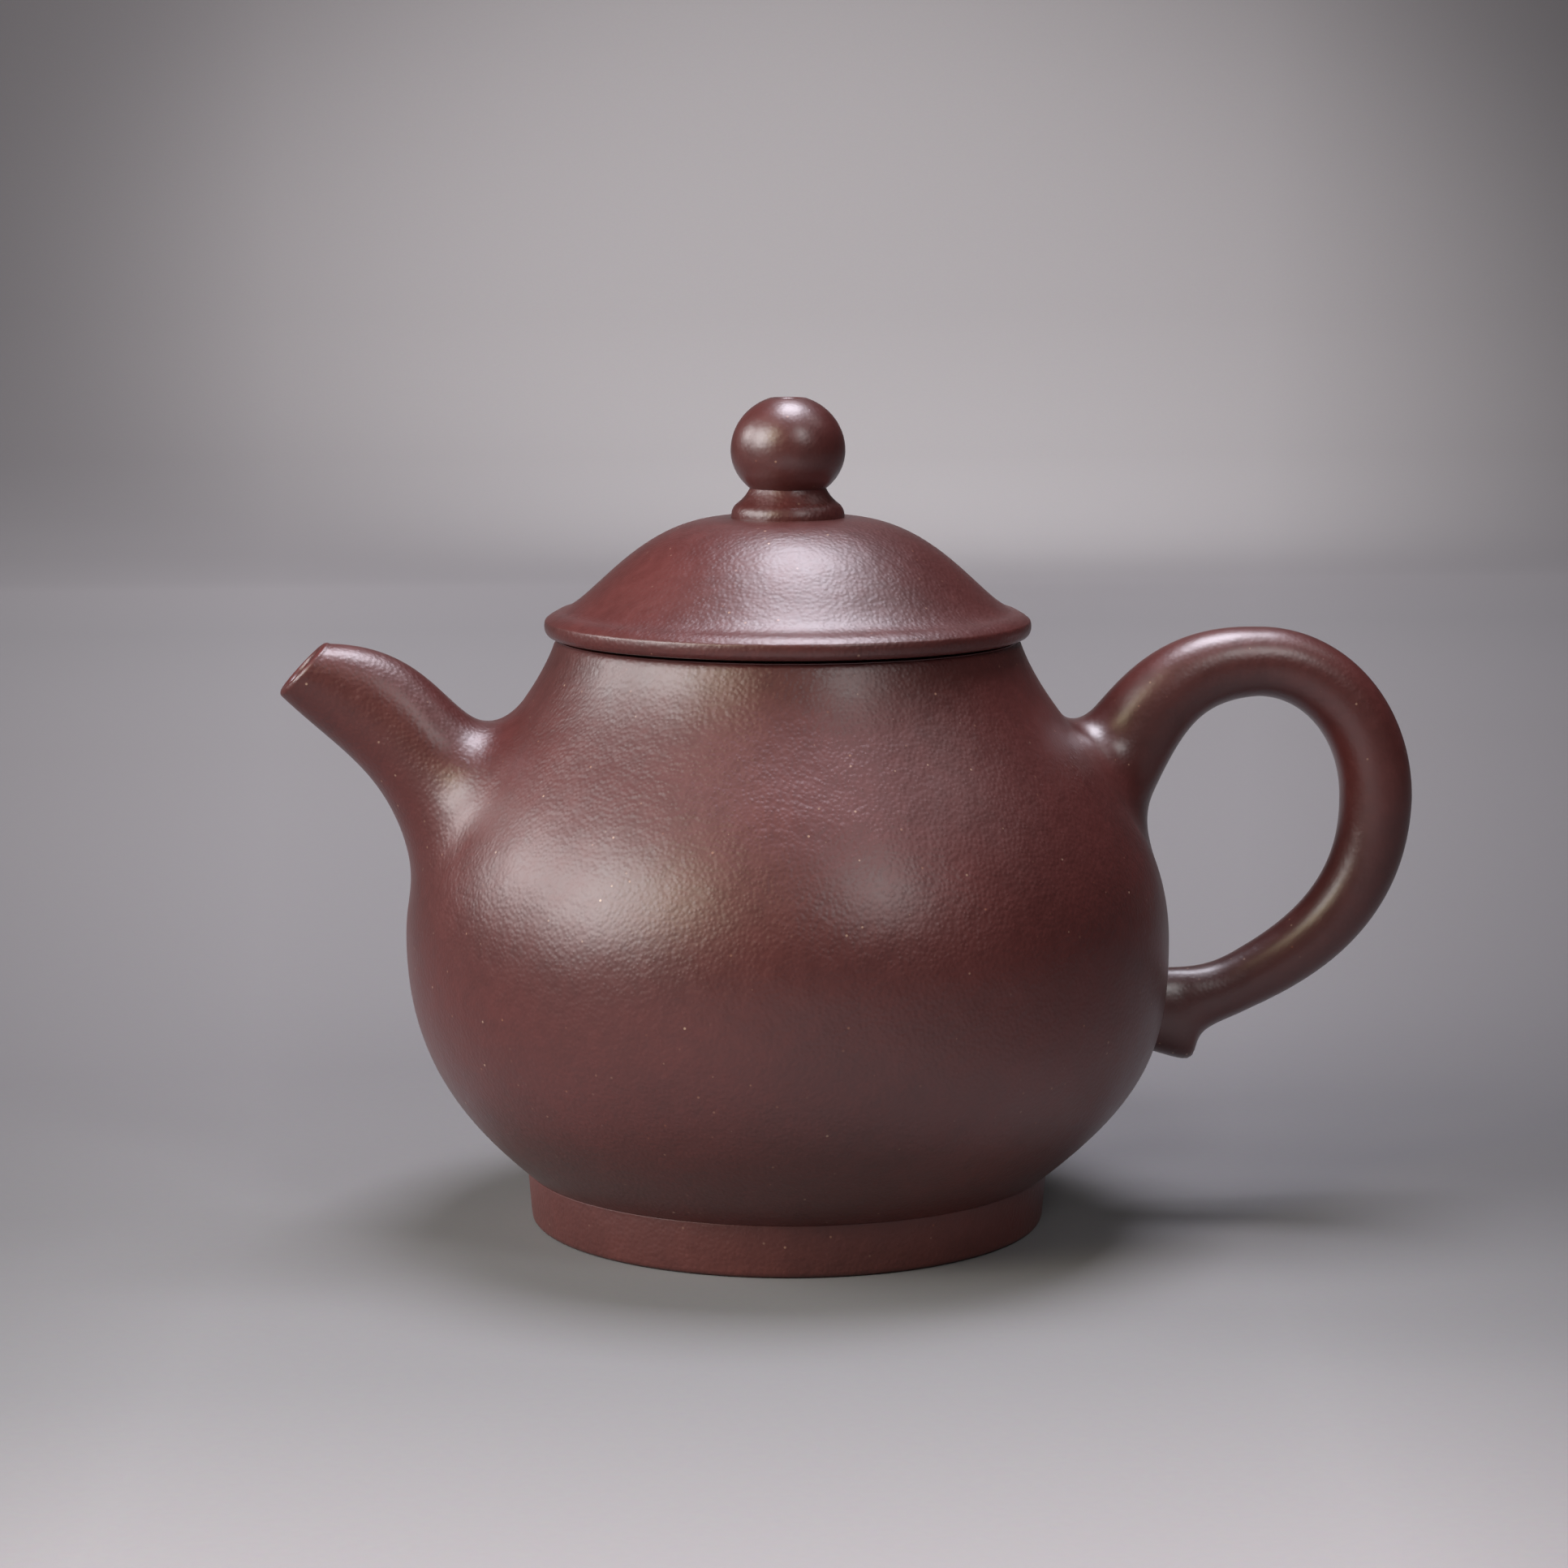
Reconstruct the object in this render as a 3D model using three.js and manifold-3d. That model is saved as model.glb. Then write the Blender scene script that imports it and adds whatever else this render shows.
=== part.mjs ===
// A small round stoneware teapot with a capped lid, ball knob, short spout and ear-shaped handle.
// Millimetres, +Z up. The pot stands on z = 0, its spout points to -X and its handle to +X.
// Every piece is thrown, pressed or rolled clay that is luted to its neighbour with a film of slip.

import * as THREE from 'three';
import { mergeVertices } from 'three/addons/utils/BufferGeometryUtils.js';
import Module from 'manifold-3d';

const wasm = await Module();
wasm.setup();

// Facets round each turned piece, and steps along each curve
const TURN_FACETS = 48;
const KNOB_FACETS = 32;
const STRAINER_FACETS = 18;
const TUBE_SIDES = 20;
const HOLE_SIDES = 6;
const EDGE_STEPS = 2;
const WALL_STEPS = 14;
const LINING_STEPS = 9;
const FIT_STEPS = 28;
const DOME_STEPS = 9;
const DOME_LINING_STEPS = 6;
const BEAD_STEPS = 5;
const KNOB_SEAT_STEPS = 4;
const KNOB_STEPS = 10;
const STRAINER_STEPS = 4;
const SPOUT_STEPS = 14;
const SPOUT_BORE_STEPS = 10;
const HANDLE_STEPS = 9;
const TAIL_STEPS = 6;

// Clearances
const LUTE_GAP = 0.3;
const SEAT_GAP = 0.3;
const COLLAR_PLAY = 0.45;
const ROOT_SINK = 1.8;

// Foot ring and base
const FOOT_RADIUS = 28.4;
const FOOT_HEIGHT = 5.75;
const FOOT_WIDTH = 3.6;
const FOOT_EDGE = 0.7;
const FOOT_TAPER = 0.5;
const BASE_THICKNESS = 2.8;

// Belly and mouth
const WALL = 2.6;
const BELLY_RADIUS = 41.35;
const BELLY_HEIGHT = 31.2;
const MOUTH_RADIUS = 24.95;
const MOUTH_HEIGHT = 63.6;
const MOUTH_RING_HEIGHT = 3.6;
const MOUTH_RING_WIDTH = 3.1;
const MOUTH_EDGE = 0.5;
const FOOT_FLARE = new THREE.Vector2(9.9, 8.2);
const BELLY_DROP = 11.3;
const BELLY_CLIMB = 14.9;
const NECK_FLARE = new THREE.Vector2(3.3, -10.3);

// Lid
const LID_OVERHANG = 1.2;
const BEAD_RADIUS = 1.1;
const COVE_STEP = 0.45;
const LID_RIM_HEIGHT = 2.6;
const DOME_SET_IN = 0.25;
const DOME_RISE = 10.1;
const LID_WALL = 2.1;
const COLLAR_DEPTH = 7.5;
const COLLAR_WALL = 1.9;
const DOME_SKIRT = new THREE.Vector2(-3.6, 0.6);
const DOME_CROWN = new THREE.Vector2(10.2, 0.12);

// Knob
const KNOB_SEAT_RADIUS = 6;
const KNOB_SEAT_HEIGHT = 3.1;
const KNOB_SEAT_BEAD = 1.45;
const KNOB_SEAT_STEP = 0.7;
const KNOB_COVE = new THREE.Vector2(0.45, 0.6);
const KNOB_WAIST = 4.1;
const KNOB_RADIUS = 6.15;
const KNOB_HEIGHT = 9.65;
const KNOB_BELT_HEIGHT = 4.05;
const VENT_RADIUS = 1;
const VENT_FLARE = 0.5;

// Spout
const SPOUT_REACH = 12.9;
const LIP_BELOW_MOUTH = 0.1;
const LIP_DROP = 5.5;
const LIP_SET_BACK = 5.2;
const SADDLE_BELOW_MOUTH = 8;
const SPOUT_TOE = 32.5;
const SPOUT_BACK_START = new THREE.Vector2(13.4, -0.5);
const SPOUT_BACK_END = new THREE.Vector2(-9.2, -4.1);
const SPOUT_BELLY_START = new THREE.Vector2(7.8, -7.7);
const SPOUT_BELLY_END = new THREE.Vector2(-1.7, 16.8);
const SPOUT_TIP_WIDTH = 7;
const SPOUT_WAIST_WIDTH = 11.4;
const SPOUT_WAIST_PLACE = 0.55;
const SPOUT_ROOT_WIDTH = 19;
const SPOUT_TIP_BORE = 2.35;
const SPOUT_ROOT_BORE = 5.3;

// Strainer behind the spout
const STRAINER_BELOW_MOUTH = 15;
const STRAINER_RADIUS = 6.2;
const STRAINER_BULGE = 4.6;
const STRAINER_WALL = 1.1;
const STRAINER_RIM_DEPTH = 0.7;
const STRAINER_HOLE_RADIUS = 0.6;
const STRAINER_RINGS = 3;
const STRAINER_PITCH = 0.45;

// Handle
const HANDLE_BELOW_MOUTH = 15.2;
const HANDLE_ROOT_RUN = new THREE.Vector2(6.1, 3.2);
const HANDLE_CREST_OUT = 10.4;
const HANDLE_CREST_RUN = 11.1;
const HANDLE_CREST_BELOW_MOUTH = 3.4;
const HANDLE_REACH = 24;
const HANDLE_BACK_HEIGHT = 45;
const HANDLE_BACK_DROP = 13.5;
const HANDLE_JOINT_HEIGHT = 22.6;
const HANDLE_JOINT_RUN = new THREE.Vector2(13.7, 0.1);
const HANDLE_ROOT_HALF = 5.8;
const HANDLE_ROOT_FLARE = 2;
const FLARE_STEEPNESS = 8;
const HANDLE_CREST_HALF = 3.7;
const HANDLE_BACK_HALF = 4.15;
const HANDLE_JOINT_HALF = 3.15;
const HANDLE_SQUARENESS = 2.3;
const QUARTER_TURN = 0.56;
const TAIL_DROP = 6.2;
const TAIL_PROUD = 6.7;
const TAIL_ROOT_PROUD = 11;
const TAIL_HALF_WIDTH = 3.1;

// Points in a vertical plane through the pot's axis: x is the distance from the axis, y the height.
const point = (x, y) => new THREE.Vector2(x, y);

// An outline made of curves that climb one after another, with points set off along its normal.
class Outline {

	constructor(...curves) {

		this.curves = curves;

	}

	at(t, offset = 0) {

		const index = THREE.MathUtils.clamp(Math.floor(t), 0, this.curves.length - 1);
		const curve = this.curves[index];
		const along = t - index;
		const here = curve.getPoint(along);
		const normal = this.normal(t);
		return here.addScaledVector(normal, offset);

	}

	normal(t) {

		const index = THREE.MathUtils.clamp(Math.floor(t), 0, this.curves.length - 1);
		const curve = this.curves[index];
		const along = t - index;
		const nudge = 1e-4;
		const run = curve.getPoint(along + nudge).sub(curve.getPoint(along - nudge));
		return point(run.y, -run.x).normalize();

	}

	// The place on the outline, set off by a distance, that lies at a height.
	placeAt(height, offset = 0) {

		let low = -0.2;
		let high = this.curves.length + 0.2;
		while (high - low > 1e-9) {

			const middle = (low + high) / 2;
			if (this.at(middle, offset).y < height) low = middle;
			else high = middle;

		}
		return low;

	}

	radiusAt(height, offset = 0) {

		return this.at(this.placeAt(height, offset), offset).x;

	}

	points(from, to, offset, steps) {

		const list = [];
		for (let i = 0; i <= steps; i++) list.push(this.at(from + (to - from) * i / steps, offset));
		return list;

	}

	// Points from one height up to another, with the first and last exactly there.
	between(lowHeight, highHeight, offset, steps) {

		const low = this.placeAt(lowHeight, offset);
		const high = this.placeAt(highHeight, offset);
		const list = this.points(low, high, offset, steps);
		list[0].y = lowHeight;
		list[steps].y = highHeight;
		return list;

	}

}

const footTop = point(FOOT_RADIUS, FOOT_HEIGHT);
const widest = point(BELLY_RADIUS, BELLY_HEIGHT);
const mouthEdge = point(MOUTH_RADIUS, MOUTH_HEIGHT);

const belly = new Outline(
	new THREE.CubicBezierCurve(
		footTop,
		footTop.clone().add(FOOT_FLARE),
		widest.clone().sub(point(0, BELLY_DROP)),
		widest,
	),
	new THREE.CubicBezierCurve(
		widest,
		widest.clone().add(point(0, BELLY_CLIMB)),
		mouthEdge.clone().add(NECK_FLARE),
		mouthEdge,
	),
);

// Heights that stack up from the table
const baseTop = FOOT_HEIGHT + BASE_THICKNESS;
const neckHeight = MOUTH_HEIGHT - MOUTH_RING_HEIGHT;
const mouthBore = MOUTH_RADIUS - MOUTH_RING_WIDTH;
const lidHeight = MOUTH_HEIGHT + SEAT_GAP;
const domeFoot = lidHeight + LID_RIM_HEIGHT;
const domeTop = domeFoot + DOME_RISE;
const knobBottom = domeTop + KNOB_SEAT_HEIGHT;
const knobTop = knobBottom + KNOB_HEIGHT;
const beadOuter = MOUTH_RADIUS + LID_OVERHANG;
const collarOuter = mouthBore - COLLAR_PLAY;
const collarInner = collarOuter - COLLAR_WALL;

const domeEdge = point(MOUTH_RADIUS - DOME_SET_IN, domeFoot);
const crown = point(KNOB_SEAT_RADIUS, domeTop);

const dome = new Outline(
	new THREE.CubicBezierCurve(
		domeEdge,
		domeEdge.clone().add(DOME_SKIRT),
		crown.clone().add(DOME_CROWN),
		crown,
	),
);

// A closed geometry as a solid, with its faces turned outwards.
function solidFrom(geometry) {

	const bare = new THREE.BufferGeometry();
	bare.setAttribute('position', geometry.getAttribute('position'));
	bare.setIndex(geometry.index);
	const merged = mergeVertices(bare, 1e-4);
	const place = merged.getAttribute('position');
	const index = merged.index;
	const corners = [new THREE.Vector3(), new THREE.Vector3(), new THREE.Vector3()];
	const triangles = [];
	let volume = 0;
	for (let i = 0; i < index.count; i += 3) {

		const [a, b, c] = [index.getX(i), index.getX(i + 1), index.getX(i + 2)];
		if (a === b || b === c || c === a) continue;
		triangles.push([a, b, c]);
		[a, b, c].forEach((vertex, k) => corners[k].fromBufferAttribute(place, vertex));
		volume += corners[0].dot(corners[1].cross(corners[2]));

	}
	if (volume < 0) triangles.forEach((triangle) => triangle.reverse());
	return new wasm.Manifold(new wasm.Mesh({
		numProp: 3,
		vertProperties: new Float32Array(place.array),
		triVerts: new Uint32Array(triangles.flat()),
	}));

}

function geometryFrom(solid) {

	const mesh = solid.getMesh();
	const geometry = new THREE.BufferGeometry();
	geometry.setAttribute('position', new THREE.BufferAttribute(mesh.vertProperties, 3));
	geometry.setIndex(new THREE.BufferAttribute(mesh.triVerts, 1));
	geometry.computeVertexNormals();
	return geometry;

}

// A profile turned about the pot's axis. It closes on itself unless it starts and ends on the axis.
function turned(profile, facets = TURN_FACETS) {

	const onAxis = profile[0].x === 0 && profile[profile.length - 1].x === 0;
	const closed = onAxis ? profile : [...profile, profile[0].clone()];
	const geometry = new THREE.LatheGeometry(closed, facets);
	geometry.rotateX(Math.PI / 2);
	return solidFrom(geometry);

}

// Oval sections in a row along the XZ plane, joined into one closed skin.
// A section has a centre, a reach from the centre to its outer edge in the plane, and a half width.
function lofted(sections, sides, squareness = 2) {

	const positions = [];
	const indices = [];
	for (const { centre, reach, halfWidth } of sections) {

		for (let k = 0; k < sides; k++) {

			const turn = 2 * Math.PI * k / sides;
			const along = Math.sign(Math.cos(turn)) * Math.abs(Math.cos(turn)) ** (2 / squareness);
			const across = Math.sign(Math.sin(turn)) * Math.abs(Math.sin(turn)) ** (2 / squareness);
			positions.push(centre.x + reach.x * along, halfWidth * across, centre.y + reach.y * along);

		}

	}
	const last = sections.length - 1;
	for (let i = 0; i < last; i++) {

		for (let k = 0; k < sides; k++) {

			const a = i * sides + k;
			const b = i * sides + (k + 1) % sides;
			indices.push(a, b, b + sides, a, b + sides, a + sides);

		}

	}
	for (const end of [0, last]) {

		const { centre } = sections[end];
		const hub = positions.length / 3;
		positions.push(centre.x, 0, centre.y);
		for (let k = 0; k < sides; k++) {

			const a = end * sides + k;
			const b = end * sides + (k + 1) % sides;
			if (end === 0) indices.push(hub, b, a);
			else indices.push(hub, a, b);

		}

	}
	const geometry = new THREE.BufferGeometry();
	geometry.setAttribute('position', new THREE.Float32BufferAttribute(positions, 3));
	geometry.setIndex(indices);
	return solidFrom(geometry);

}

// Round sections square to a curve in the XZ plane.
function tubeSections(curve, stations, halfAt, halfWidthAt) {

	const sections = [];
	for (let i = 0; i <= stations; i++) {

		const t = i / stations;
		const run = curve.getTangent(t);
		const reach = point(-run.y, run.x).multiplyScalar(halfAt(t));
		sections.push({ centre: curve.getPoint(t), reach, halfWidth: halfWidthAt(t) });

	}
	return sections;

}

// From one size to another, quickly at first and then slowly.
const ease = (from, to, t) => THREE.MathUtils.lerp(from, to, 1 - (1 - t) ** 3);

// The whole outside of the pot as one solid, grown by the slip film, cuts what is luted to it.
function pottedBelly(growth) {

	const skin = belly.points(0, belly.curves.length, growth, FIT_STEPS);
	return turned([
		point(0, skin[0].y),
		...skin,
		point(0, skin[FIT_STEPS].y),
	]);

}

function footRing() {

	const outer = FOOT_RADIUS - FOOT_TAPER;
	const inner = FOOT_RADIUS - FOOT_WIDTH;
	const profile = new THREE.Path();
	profile.moveTo(inner, FOOT_HEIGHT);
	profile.lineTo(inner, FOOT_EDGE);
	profile.quadraticCurveTo(inner, 0, inner + FOOT_EDGE, 0);
	profile.lineTo(outer - FOOT_EDGE, 0);
	profile.quadraticCurveTo(outer, 0, outer, FOOT_EDGE);
	profile.lineTo(FOOT_RADIUS, FOOT_HEIGHT);
	return turned(profile.getPoints(EDGE_STEPS));

}

function baseDisc() {

	return turned([
		point(0, FOOT_HEIGHT),
		...belly.between(FOOT_HEIGHT, baseTop, 0, EDGE_STEPS),
		point(0, baseTop),
	]);

}

// The wall opens behind the spout, where the strainer is set in.
function bellyWall(strainerPocket) {

	const shell = turned([
		...belly.between(baseTop, neckHeight, 0, WALL_STEPS),
		...belly.between(baseTop, neckHeight, -WALL, LINING_STEPS).reverse(),
	]);
	return shell.subtract(strainerPocket);

}

function mouthRing() {

	const wallInside = belly.radiusAt(neckHeight, -WALL);
	return turned([
		point(wallInside, neckHeight),
		...belly.between(neckHeight, MOUTH_HEIGHT - MOUTH_EDGE, 0, EDGE_STEPS),
		point(MOUTH_RADIUS - MOUTH_EDGE, MOUTH_HEIGHT),
		point(mouthBore + MOUTH_EDGE, MOUTH_HEIGHT),
		point(mouthBore, MOUTH_HEIGHT - MOUTH_EDGE),
		point(mouthBore, neckHeight + MOUTH_RING_HEIGHT / 3),
	]);

}

// The strainer's own frame: its Z axis is the wall's outward normal at the spout's root.
const strainerPlace = belly.placeAt(MOUTH_HEIGHT - STRAINER_BELOW_MOUTH);
const strainerCentre = belly.at(strainerPlace);
const strainerNormal = belly.normal(strainerPlace);

function atStrainer(geometry) {

	const tilt = Math.atan2(-strainerNormal.x, strainerNormal.y);
	geometry.rotateY(tilt);
	geometry.translate(-strainerCentre.x, 0, strainerCentre.y);
	return solidFrom(geometry);

}

function strainerPocket() {

	const radius = STRAINER_RADIUS + LUTE_GAP;
	const plug = new THREE.CylinderGeometry(radius, radius, 3 * WALL, STRAINER_FACETS);
	plug.rotateX(Math.PI / 2);
	return atStrainer(plug);

}

// A pierced dome that bulges into the pot and keeps the leaves out of the spout.
function strainer() {

	const domeSphere = (STRAINER_RADIUS ** 2 + STRAINER_BULGE ** 2) / (2 * STRAINER_BULGE);
	const spread = Math.asin(STRAINER_RADIUS / domeSphere);
	const centreDepth = -WALL + domeSphere - STRAINER_BULGE;
	const innerSphere = domeSphere - STRAINER_WALL;
	const innerRadius = STRAINER_RADIUS - STRAINER_WALL;
	const innerSpread = Math.asin(innerRadius / innerSphere);
	const profile = [];
	for (let i = 0; i <= STRAINER_STEPS; i++) {

		const angle = spread * i / STRAINER_STEPS;
		profile.push(point(domeSphere * Math.sin(angle), centreDepth - domeSphere * Math.cos(angle)));

	}
	profile[0].x = 0;
	profile.push(point(STRAINER_RADIUS, -STRAINER_RIM_DEPTH));
	profile.push(point(innerRadius, -STRAINER_RIM_DEPTH));
	for (let i = STRAINER_STEPS; i >= 0; i--) {

		const angle = innerSpread * i / STRAINER_STEPS;
		profile.push(point(innerSphere * Math.sin(angle), centreDepth - innerSphere * Math.cos(angle)));

	}
	profile[profile.length - 1].x = 0;
	const cup = new THREE.LatheGeometry(profile, STRAINER_FACETS);
	cup.rotateX(Math.PI / 2);
	let pierced = atStrainer(cup);
	for (let ring = 0; ring <= STRAINER_RINGS; ring++) {

		const count = Math.max(1, ring * 6);
		for (let k = 0; k < count; k++) {

			const awl = new THREE.CylinderGeometry(
				STRAINER_HOLE_RADIUS, STRAINER_HOLE_RADIUS, 3 * STRAINER_WALL, HOLE_SIDES);
			awl.rotateX(Math.PI / 2);
			awl.translate(0, 0, -(domeSphere - STRAINER_WALL / 2));
			awl.rotateX(STRAINER_PITCH * ring);
			awl.rotateZ(2 * Math.PI * (k + ring / 2) / count);
			awl.translate(0, 0, centreDepth);
			pierced = pierced.subtract(atStrainer(awl));

		}

	}
	return pierced;

}

// The spout lies between a back line and a belly line, from its lip down to the pot's wall.
function spout(bellyCutter) {

	const lipLow = point(-(BELLY_RADIUS + SPOUT_REACH), MOUTH_HEIGHT - LIP_BELOW_MOUTH - LIP_DROP);
	const lipHigh = lipLow.clone().add(point(LIP_SET_BACK, LIP_DROP));
	const saddleHeight = MOUTH_HEIGHT - SADDLE_BELOW_MOUTH;
	const saddle = point(-belly.radiusAt(saddleHeight, -ROOT_SINK), saddleHeight);
	const toe = point(-belly.radiusAt(SPOUT_TOE, -ROOT_SINK), SPOUT_TOE);
	const back = new THREE.CubicBezierCurve(
		lipHigh,
		lipHigh.clone().add(SPOUT_BACK_START),
		saddle.clone().add(SPOUT_BACK_END),
		saddle,
	);
	const underside = new THREE.CubicBezierCurve(
		lipLow,
		lipLow.clone().add(SPOUT_BELLY_START),
		toe.clone().add(SPOUT_BELLY_END),
		toe,
	);
	const widthCurve = new THREE.QuadraticBezierCurve(
		point(0, SPOUT_TIP_WIDTH / 2),
		point(SPOUT_WAIST_PLACE, SPOUT_WAIST_WIDTH / 2),
		point(1, SPOUT_ROOT_WIDTH / 2),
	);
	const sections = [];
	for (let i = 0; i <= SPOUT_STEPS; i++) {

		const t = i / SPOUT_STEPS;
		const high = back.getPoint(t);
		const low = underside.getPoint(t);
		const centre = high.clone().add(low).multiplyScalar(0.5);
		sections.push({ centre, reach: high.sub(centre), halfWidth: widthCurve.getPoint(t).y });

	}
	const root = point(-strainerCentre.x, strainerCentre.y);
	const rootRun = point(-strainerNormal.x, strainerNormal.y);
	const tip = sections[0].centre;
	const tipRun = tip.clone().sub(sections[1].centre).normalize();
	const boreLine = new THREE.CubicBezierCurve(
		root.clone().addScaledVector(rootRun, -WALL),
		root.clone().addScaledVector(rootRun, 2 * WALL),
		tip.clone().addScaledVector(tipRun, -3 * WALL),
		tip.clone().addScaledVector(tipRun, WALL),
	);
	const boreAt = (t) => THREE.MathUtils.lerp(SPOUT_ROOT_BORE, SPOUT_TIP_BORE, t);
	const bore = lofted(tubeSections(boreLine, SPOUT_BORE_STEPS, boreAt, boreAt), TUBE_SIDES);
	return lofted(sections, TUBE_SIDES).subtract(bellyCutter).subtract(bore);

}

// One rolled coil bent into an ear. Its upper end is smoothed out on the wall as a flare, and its
// lower end is turned down along the wall as a short tail.
function handle(bellyCutter) {

	const rootHeight = MOUTH_HEIGHT - HANDLE_BELOW_MOUTH;
	const root = point(belly.radiusAt(rootHeight, -ROOT_SINK), rootHeight);
	const crest = point(BELLY_RADIUS + HANDLE_CREST_OUT, MOUTH_HEIGHT - HANDLE_CREST_BELOW_MOUTH);
	const back = point(BELLY_RADIUS + HANDLE_REACH, HANDLE_BACK_HEIGHT);
	const joint = point(belly.radiusAt(HANDLE_JOINT_HEIGHT, -ROOT_SINK), HANDLE_JOINT_HEIGHT);
	const crestRun = point(HANDLE_CREST_RUN, 0);
	const crestOut = point((back.x - crest.x) * QUARTER_TURN, 0);
	const backUp = point(0, (crest.y - back.y) * QUARTER_TURN);
	const backDown = point(0, -HANDLE_BACK_DROP);
	const legs = [
		{
			curve: new THREE.CubicBezierCurve(
				root, root.clone().add(HANDLE_ROOT_RUN), crest.clone().sub(crestRun), crest),
			from: HANDLE_ROOT_HALF,
			to: HANDLE_CREST_HALF,
			flare: HANDLE_ROOT_FLARE,
		},
		{
			curve: new THREE.CubicBezierCurve(
				crest, crest.clone().add(crestOut), back.clone().add(backUp), back),
			from: HANDLE_CREST_HALF,
			to: HANDLE_BACK_HALF,
			flare: 0,
		},
		{
			curve: new THREE.CubicBezierCurve(
				back, back.clone().add(backDown), joint.clone().add(HANDLE_JOINT_RUN), joint),
			from: HANDLE_BACK_HALF,
			to: HANDLE_JOINT_HALF,
			flare: 0,
		},
	];
	const sections = [];
	for (const { curve, from, to, flare } of legs) {

		const halfAt = (t) => THREE.MathUtils.lerp(from, to, t) + flare * (1 - t) ** FLARE_STEEPNESS;
		const leg = tubeSections(curve, HANDLE_STEPS, halfAt, halfAt);
		if (sections.length > 0) leg.shift();
		sections.push(...leg);

	}
	const coil = lofted(sections, TUBE_SIDES, HANDLE_SQUARENESS);
	return coil.add(handleTail()).subtract(bellyCutter);

}

function handleTail() {

	const sections = [];
	for (let i = 0; i <= TAIL_STEPS; i++) {

		const t = i / TAIL_STEPS;
		const height = HANDLE_JOINT_HEIGHT - TAIL_DROP * t;
		const wallInside = belly.radiusAt(height, -ROOT_SINK);
		const proud = ease(TAIL_ROOT_PROUD, TAIL_PROUD, t);
		const outer = belly.radiusAt(height) + proud;
		const half = (outer - wallInside) / 2;
		sections.push({
			centre: point(wallInside + half, height),
			reach: point(half, 0),
			halfWidth: TAIL_HALF_WIDTH,
		});

	}
	return lofted(sections, TUBE_SIDES, HANDLE_SQUARENESS);

}

// A flat ring with a half-round bead, which overhangs the mouth of the pot.
function lidRim() {

	const beadCentre = point(beadOuter - BEAD_RADIUS, lidHeight + BEAD_RADIUS);
	const profile = [point(collarInner, lidHeight)];
	for (let i = 0; i <= BEAD_STEPS; i++) {

		const angle = -Math.PI / 2 + Math.PI * i / BEAD_STEPS;
		profile.push(point(
			beadCentre.x + BEAD_RADIUS * Math.cos(angle),
			beadCentre.y + BEAD_RADIUS * Math.sin(angle),
		));

	}
	profile.push(point(domeEdge.x + COVE_STEP / 2, domeFoot - COVE_STEP / 2));
	profile.push(point(domeEdge.x, domeFoot));
	profile.push(point(collarInner, domeFoot));
	return turned(profile);

}

function lidDome() {

	const insideLow = dome.placeAt(domeFoot, -LID_WALL);
	const inside = dome.points(insideLow, 1, -LID_WALL, DOME_LINING_STEPS);
	inside[0].y = domeFoot;
	inside[0].x = Math.max(inside[0].x, collarInner);
	const ceiling = inside[inside.length - 1].y;
	return turned([
		...dome.points(0, 1, 0, DOME_STEPS),
		point(VENT_RADIUS + VENT_FLARE, domeTop),
		point(VENT_RADIUS + VENT_FLARE, ceiling),
		...inside.reverse(),
	]);

}

// The collar hangs inside the mouth and keeps the lid on while the pot is tipped.
function lidCollar() {

	const bottom = lidHeight - COLLAR_DEPTH;
	const bevel = COLLAR_WALL / 4;
	return turned([
		point(collarInner, lidHeight),
		point(collarInner, bottom + bevel),
		point(collarInner + bevel, bottom),
		point(collarOuter - bevel, bottom),
		point(collarOuter, bottom + bevel),
		point(collarOuter, lidHeight),
	]);

}

// A low moulding: a soft bead below, and a cove above it that narrows to the knob's waist.
function knobSeat() {

	const bore = VENT_RADIUS + VENT_FLARE;
	const beadTop = point(KNOB_SEAT_RADIUS - KNOB_SEAT_STEP, domeTop + KNOB_SEAT_BEAD);
	const profile = new THREE.Path();
	profile.moveTo(bore, domeTop);
	profile.lineTo(KNOB_SEAT_RADIUS, domeTop);
	profile.quadraticCurveTo(KNOB_SEAT_RADIUS, domeTop + KNOB_SEAT_STEP, beadTop.x, beadTop.y);
	profile.quadraticCurveTo(KNOB_WAIST + KNOB_COVE.x, beadTop.y + KNOB_COVE.y, KNOB_WAIST, knobBottom);
	profile.lineTo(bore, knobBottom);
	return turned(profile.getPoints(KNOB_SEAT_STEPS), KNOB_FACETS);

}

// A ball, a little flatter below than above, with the vent hole down its middle.
function knob() {

	const belt = knobBottom + KNOB_BELT_HEIGHT;
	const foot = Math.acos(KNOB_WAIST / KNOB_RADIUS);
	const head = Math.acos((VENT_RADIUS + VENT_FLARE) / KNOB_RADIUS);
	const lowerHalf = (belt - knobBottom) / Math.sin(foot);
	const upperHalf = (knobTop - belt) / Math.sin(head);
	const profile = [point(VENT_RADIUS + VENT_FLARE, knobBottom)];
	for (let i = 0; i <= KNOB_STEPS; i++) {

		const angle = -foot + (head + foot) * i / KNOB_STEPS;
		const half = angle < 0 ? lowerHalf : upperHalf;
		profile.push(point(KNOB_RADIUS * Math.cos(angle), belt + half * Math.sin(angle)));

	}
	profile.push(point(VENT_RADIUS, knobTop - VENT_FLARE));
	return turned(profile, KNOB_FACETS);

}

const clay = (colour, roughness) => new THREE.MeshStandardMaterial({ color: colour, roughness, metalness: 0 });

function piece(name, solid, colour, roughness) {

	const mesh = new THREE.Mesh(geometryFrom(solid), clay(colour, roughness));
	mesh.name = name;
	return mesh;

}

const bellyCutter = pottedBelly(LUTE_GAP);

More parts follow.
